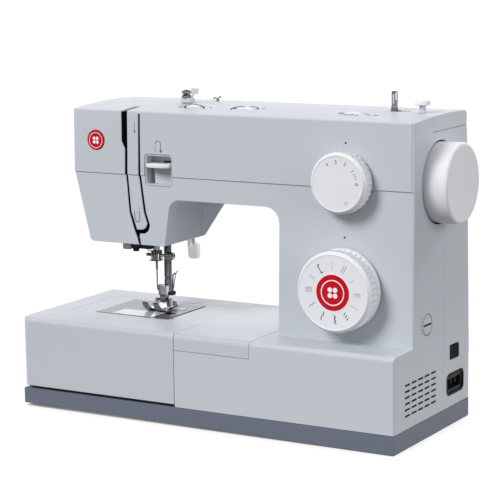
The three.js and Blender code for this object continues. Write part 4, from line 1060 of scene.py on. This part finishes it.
def front_marks():
    ink = Form()
    # down arrow on the upper tongue
    stroke(ink, [(103.5, 264.6), (103.5, 256)], 0.4)
    stroke(ink, [(102.8, 257.4), (103.5, 255.2), (104.2, 257.4)], 0.4)
    # reverse mark: a dotted leg, a turn and a solid leg with an arrow
    turn = [(128.3 + 2.9 * cos(a), 245.9 + 2.9 * sin(a)) for a in arc(180, 0, 12)]
    stroke(ink, turn, 0.5)
    stroke(ink, [(131.2, 245.9), (131.2, 239.2)], 0.5)
    stroke(ink, [(130, 241), (131.2, 238.8), (132.4, 241)], 0.5)
    for z in (244.4, 242.2, 240):
        stroke(ink, [(125.4, z), (125.4, z - 0.9)], 0.5)
    # turn mark on the lower tongue
    bowl = [(105 + 2.6 * cos(a), 177 + 2.6 * sin(a)) for a in arc(195, 350, 10)]
    stroke(ink, [(101.6, 184), *bowl, (107.3, 184.4)], 0.6)
    spot(ink, 107.2, 186.8, 0.55)
    # setting dots over the two dials
    for node in ("length_dial", "pattern_dial"):
        x, _, z = centre(node)
        radius = (extent(node)[1][0] - extent(node)[0][0]) / 2
        spot(ink, x, z + radius + (6.2 if node == "length_dial" else 8.6), 0.95)
    ink.shift(on_front)
    piece("front_marks", ink, "dark_ink", "casing")


front_marks()


def on_top(form):
    """Lays marks drawn in (x, y) on the crowned top of the cover."""
    for vert in form.mesh.verts:
        x, lift, y = vert.co
        vert.co = (x, y, crown(y) - lift)
    return form


def top_marks():
    """Raised arches round two of the thumbwheels, and the figures before the third."""
    ink = Form()
    for points in (
        [(142.5, 65.3), (137.5, 72), (134.5, 80), (133.3, 89.5)],
        [(137, 91), (146, 85), (154, 77), (160.6, 67.6)],
        [(188.5, 68), (185.6, 76), (185, 84), (186, 91)],
        [(194.6, 93), (201, 89), (206, 85), (209, 80.4)],
    ):
        stroke(ink, points, 1.3, 0.2)
    for x, y in ((138.4, 85), (190.6, 86)):
        stroke(ink, [(x - 1, y - 2), (x, y + 2.4), (x + 1, y - 2)], 1, 0.2)
    for x, y in ((135.4, 68), (163.6, 74), (215, 80.7)):
        spot(ink, x, y, 1.1, 0.2)
    for x in (298, 324, 331):
        stroke(ink, [(x - 1.6, 70), (x + 1.6, 70)], 1.2, 0.2)
    figures = Form()
    for text, x in (("4", 304.5), ("3", 309.6), ("2", 314.7)):
        digits(figures, text, 5, x, 0, lift=0.1)
    for vert in figures.mesh.verts:
        vert.co.z = 66 + 2.2 * vert.co.z
    piece("tension_figures", on_top(figures), "dark_ink", "casing")
    piece("top_marks", on_top(ink), "dark_ink", "casing")


top_marks()


# ---- painted shade behind openings
SHADE_SET_BACK = 0.7


def shade_in_slot(form, outline, depth):
    """Painted shade: a thin dark wall just inside a slot in the front, and a dark floor at its depth,
    where the slot holds only shade.
    """
    outer, inner = shrunk(outline, 0.04), shrunk(outline, 0.24)

    def ring(points, y=None):
        return [(x, front(z) + SHADE_SET_BACK if y is None else y, z) for x, z in points]

    form.loft([ring(outer), ring(outer, depth), ring(inner, depth), ring(inner)], loop=True)
    form.prism("Y", outer, depth - 0.5, depth)


TAKE_UP_SLOT = [(89, 274), (89, 247.5), (92.6, 240.5), (92.3, 217.2), (95, 217.2), (95.3, 240.5)]
TAKE_UP_SLOT += [(95.3, 274)]
RIGHT_SLOT = [(106.8, 217.2), (109, 217.2), (109, 272.3), (107.2, 272.3)]
LOWER_SLOT = [
    (93, 216.6), (96.2, 183), (101.4, 166.8), (104.4, 160), (106.2, 154.6), (108.9, 154.6),
    (107.2, 160.4), (107.6, 163.6), (112.6, 164), (116.6, 166.6), (118.4, 172.2), (114.2, 183.6),
    (109.1, 216.6), (106.9, 216.6), (111.6, 184), (115.4, 173.4), (113.8, 169.6), (110.8, 167.6),
    (104.4, 167.2), (98.4, 183.6), (95.1, 216.6),
]


def thread_slot_shading():
    # painted shade in the three thread slots of the front
    form = Form()
    shade_in_slot(form, TAKE_UP_SLOT, 65.6)
    shade_in_slot(form, RIGHT_SLOT, 50.6)
    shade_in_slot(form, LOWER_SLOT, 50.6)
    piece("thread_slot_shading", form, "shadow", "casing")


thread_slot_shading()


def vent_shading():
    """Painted shade: dark blocks set into the cooling slots, five columns of six, where there is only
    shade.
    """
    half_length, half_height = 4.98, 0.98
    start, end = RIGHT_END - 2.4, RIGHT_END - 0.6
    form = Form()
    for column in range(5):
        for row in range(6):
            y, z = 26.8 + 13 * column, 29 + 5.3 * row
            form.box(start, y - half_length, z - half_height, end, y + half_length, z + half_height)
    piece("vent_shading", form, "shadow", "casing")


vent_shading()


def seam_fillers():
    """Strips that close two moulding seams in the right end almost flush."""
    form = Form()
    seam = 379.5
    edge = [(front(z) + 0.12, z) for z in (217.1, 272)]
    edge += [(46, 274.4), (46, 270), (front(270) + 2, 268), (front(217) + 2, 217.1)]
    form.prism("X", edge, seam + 0.02, seam + 0.28)
    form.box(RIGHT_END - 2, 99.87, 18, RIGHT_END - 0.1, 100.13, 184)
    form.box(RIGHT_END - 2, 99.87, 257, RIGHT_END - 0.1, 100.13, 263.6)
    piece("seam_fillers", form, "casing", "casing")


seam_fillers()


def plate_border():
    """The dark joint round the needle plate, at its front and right."""
    low, high = extent("needle_plate")
    form = Form().box(high[0] - 0.7, low[1], high[2] - 0.1, high[0] + 0.3, high[1], high[2] + 0.04)
    form.box(low[0], low[1] - 0.3, high[2] - 0.1, high[0] + 0.3, low[1] + 0.5, high[2] + 0.04)
    piece("plate_border", form, "dark_ink", "casing")


plate_border()


# ---- studio
def add_sun(name, direction, strength, softness):
    """A soft far light; direction points from the object to the light."""
    data = bpy.data.lights.new(name, "SUN")
    data.energy = strength * pi
    data.angle = radians(softness)
    light = add_object(name, data)
    light.rotation_euler = Vector(direction).to_track_quat("Z", "Y").to_euler()
    return light


def add_stage_mesh(name, points, faces, surface):
    mesh = bpy.data.meshes.new(name)
    mesh.from_pydata(points, [], faces)
    mesh.materials.append(surface.material)
    obj = add_object(name, mesh)
    obj.visible_diffuse = False
    return obj


def glowing(name, strength=1):
    """A surface that only glows; returns it with its emission shader."""
    surface = Surface(name)
    glow = put(surface.node("ShaderNodeEmission"), Strength=strength)
    surface.link(glow.outputs["Emission"], surface.tree.nodes["Material Output"].inputs["Surface"])
    return surface, glow


STUDIO_WHITE = 1.02  # the glow of the floor and the backdrop, a little past white


def add_floor():
    """A white sweep with a painted contact shadow, which only darkens close to what stands on it."""
    surface, glow = glowing("studio_floor")
    contact = put(surface.node("ShaderNodeAmbientOcclusion", samples=16), Distance=0.05)
    shade = surface.ramp(contact.outputs["AO"], 0.16, STUDIO_WHITE, (0.05, 0.6))
    surface.link(shade, glow.inputs["Strength"])
    reach = 60
    corners = [(-reach, -reach, 0), (reach, -reach, 0), (reach, reach, 0), (-reach, reach, 0)]
    add_stage_mesh("floor", corners, [(0, 1, 2, 3)], surface)


def add_round():
    """Dark flats low round the set and a bright screen behind it, which only gloss reflects, and a
    white backdrop far outside them, which only the camera and clear plastic see."""
    count = 72
    step = 360 / count
    circle = [(cos(a), sin(a)) for a in arc(0, 360 - step, count - 1)]

    def wall(name, glow_name, strength, radius, low, high, shown):
        points = [(radius * x, radius * y, z) for z in (low, high) for x, y in circle]
        around = [(i, (i + 1) % count) for i in range(count) if shown(i * step)]
        faces = [(i, j, count + j, count + i) for i, j in around]
        obj = add_stage_mesh(name, points, faces, glowing(glow_name, strength)[0])
        obj.visible_shadow = False
        return obj

    # a 10 degree gap every 60 degrees, and a screen from 45 to 190 degrees
    with_gaps, behind = lambda turn: (turn + 65) % 60 >= 10, lambda turn: 45 <= turn <= 190
    flats = wall("dark_flats", "dark_flat", 0.02, 0.62, -0.01, 0.165, with_gaps)
    screen = wall("bright_screen", "bright_screen", 1.5, 1.2, 0.1, 0.75, behind)
    backdrop = wall("backdrop", "backdrop", STUDIO_WHITE, 8, 0.1, 8, lambda turn: True)
    backdrop.visible_glossy = False
    for obj in (flats, screen):
        obj.visible_camera = False
        obj.visible_transmission = False


def add_world():
    """Soft light from above, and a dimmer one from below the horizon."""
    world = bpy.data.worlds.new("studio")
    world.use_nodes = True
    tree = world.node_tree
    new, join = tree.nodes.new, tree.links.new
    background = put(tree.nodes["Background"], Color=(0.985, 0.985, 1, 1))
    coordinates, split = new("ShaderNodeTexCoord"), new("ShaderNodeSeparateXYZ")
    ramp = put(new("ShaderNodeMapRange"), From_Min=-0.3, From_Max=0.3, To_Min=0.16, To_Max=0.36)
    join(coordinates.outputs["Generated"], split.inputs["Vector"])
    join(split.outputs["Z"], ramp.inputs["Value"])
    join(ramp.outputs["Result"], background.inputs["Strength"])
    bpy.context.scene.world = world


key_light = add_sun("key_light", (-0.36, -0.74, 0.63), 0.88, 24)
add_sun("fill_light", (0.95, -0.15, 0.22), 0.375, 40)
back_light = add_sun("back_light", (0.15, 0.78, 0.6), 0.5, 36)
for light in (key_light, back_light):
    light.visible_glossy = False
add_world()
add_floor()
add_round()
bpy.context.scene.view_settings.view_transform = "Standard"
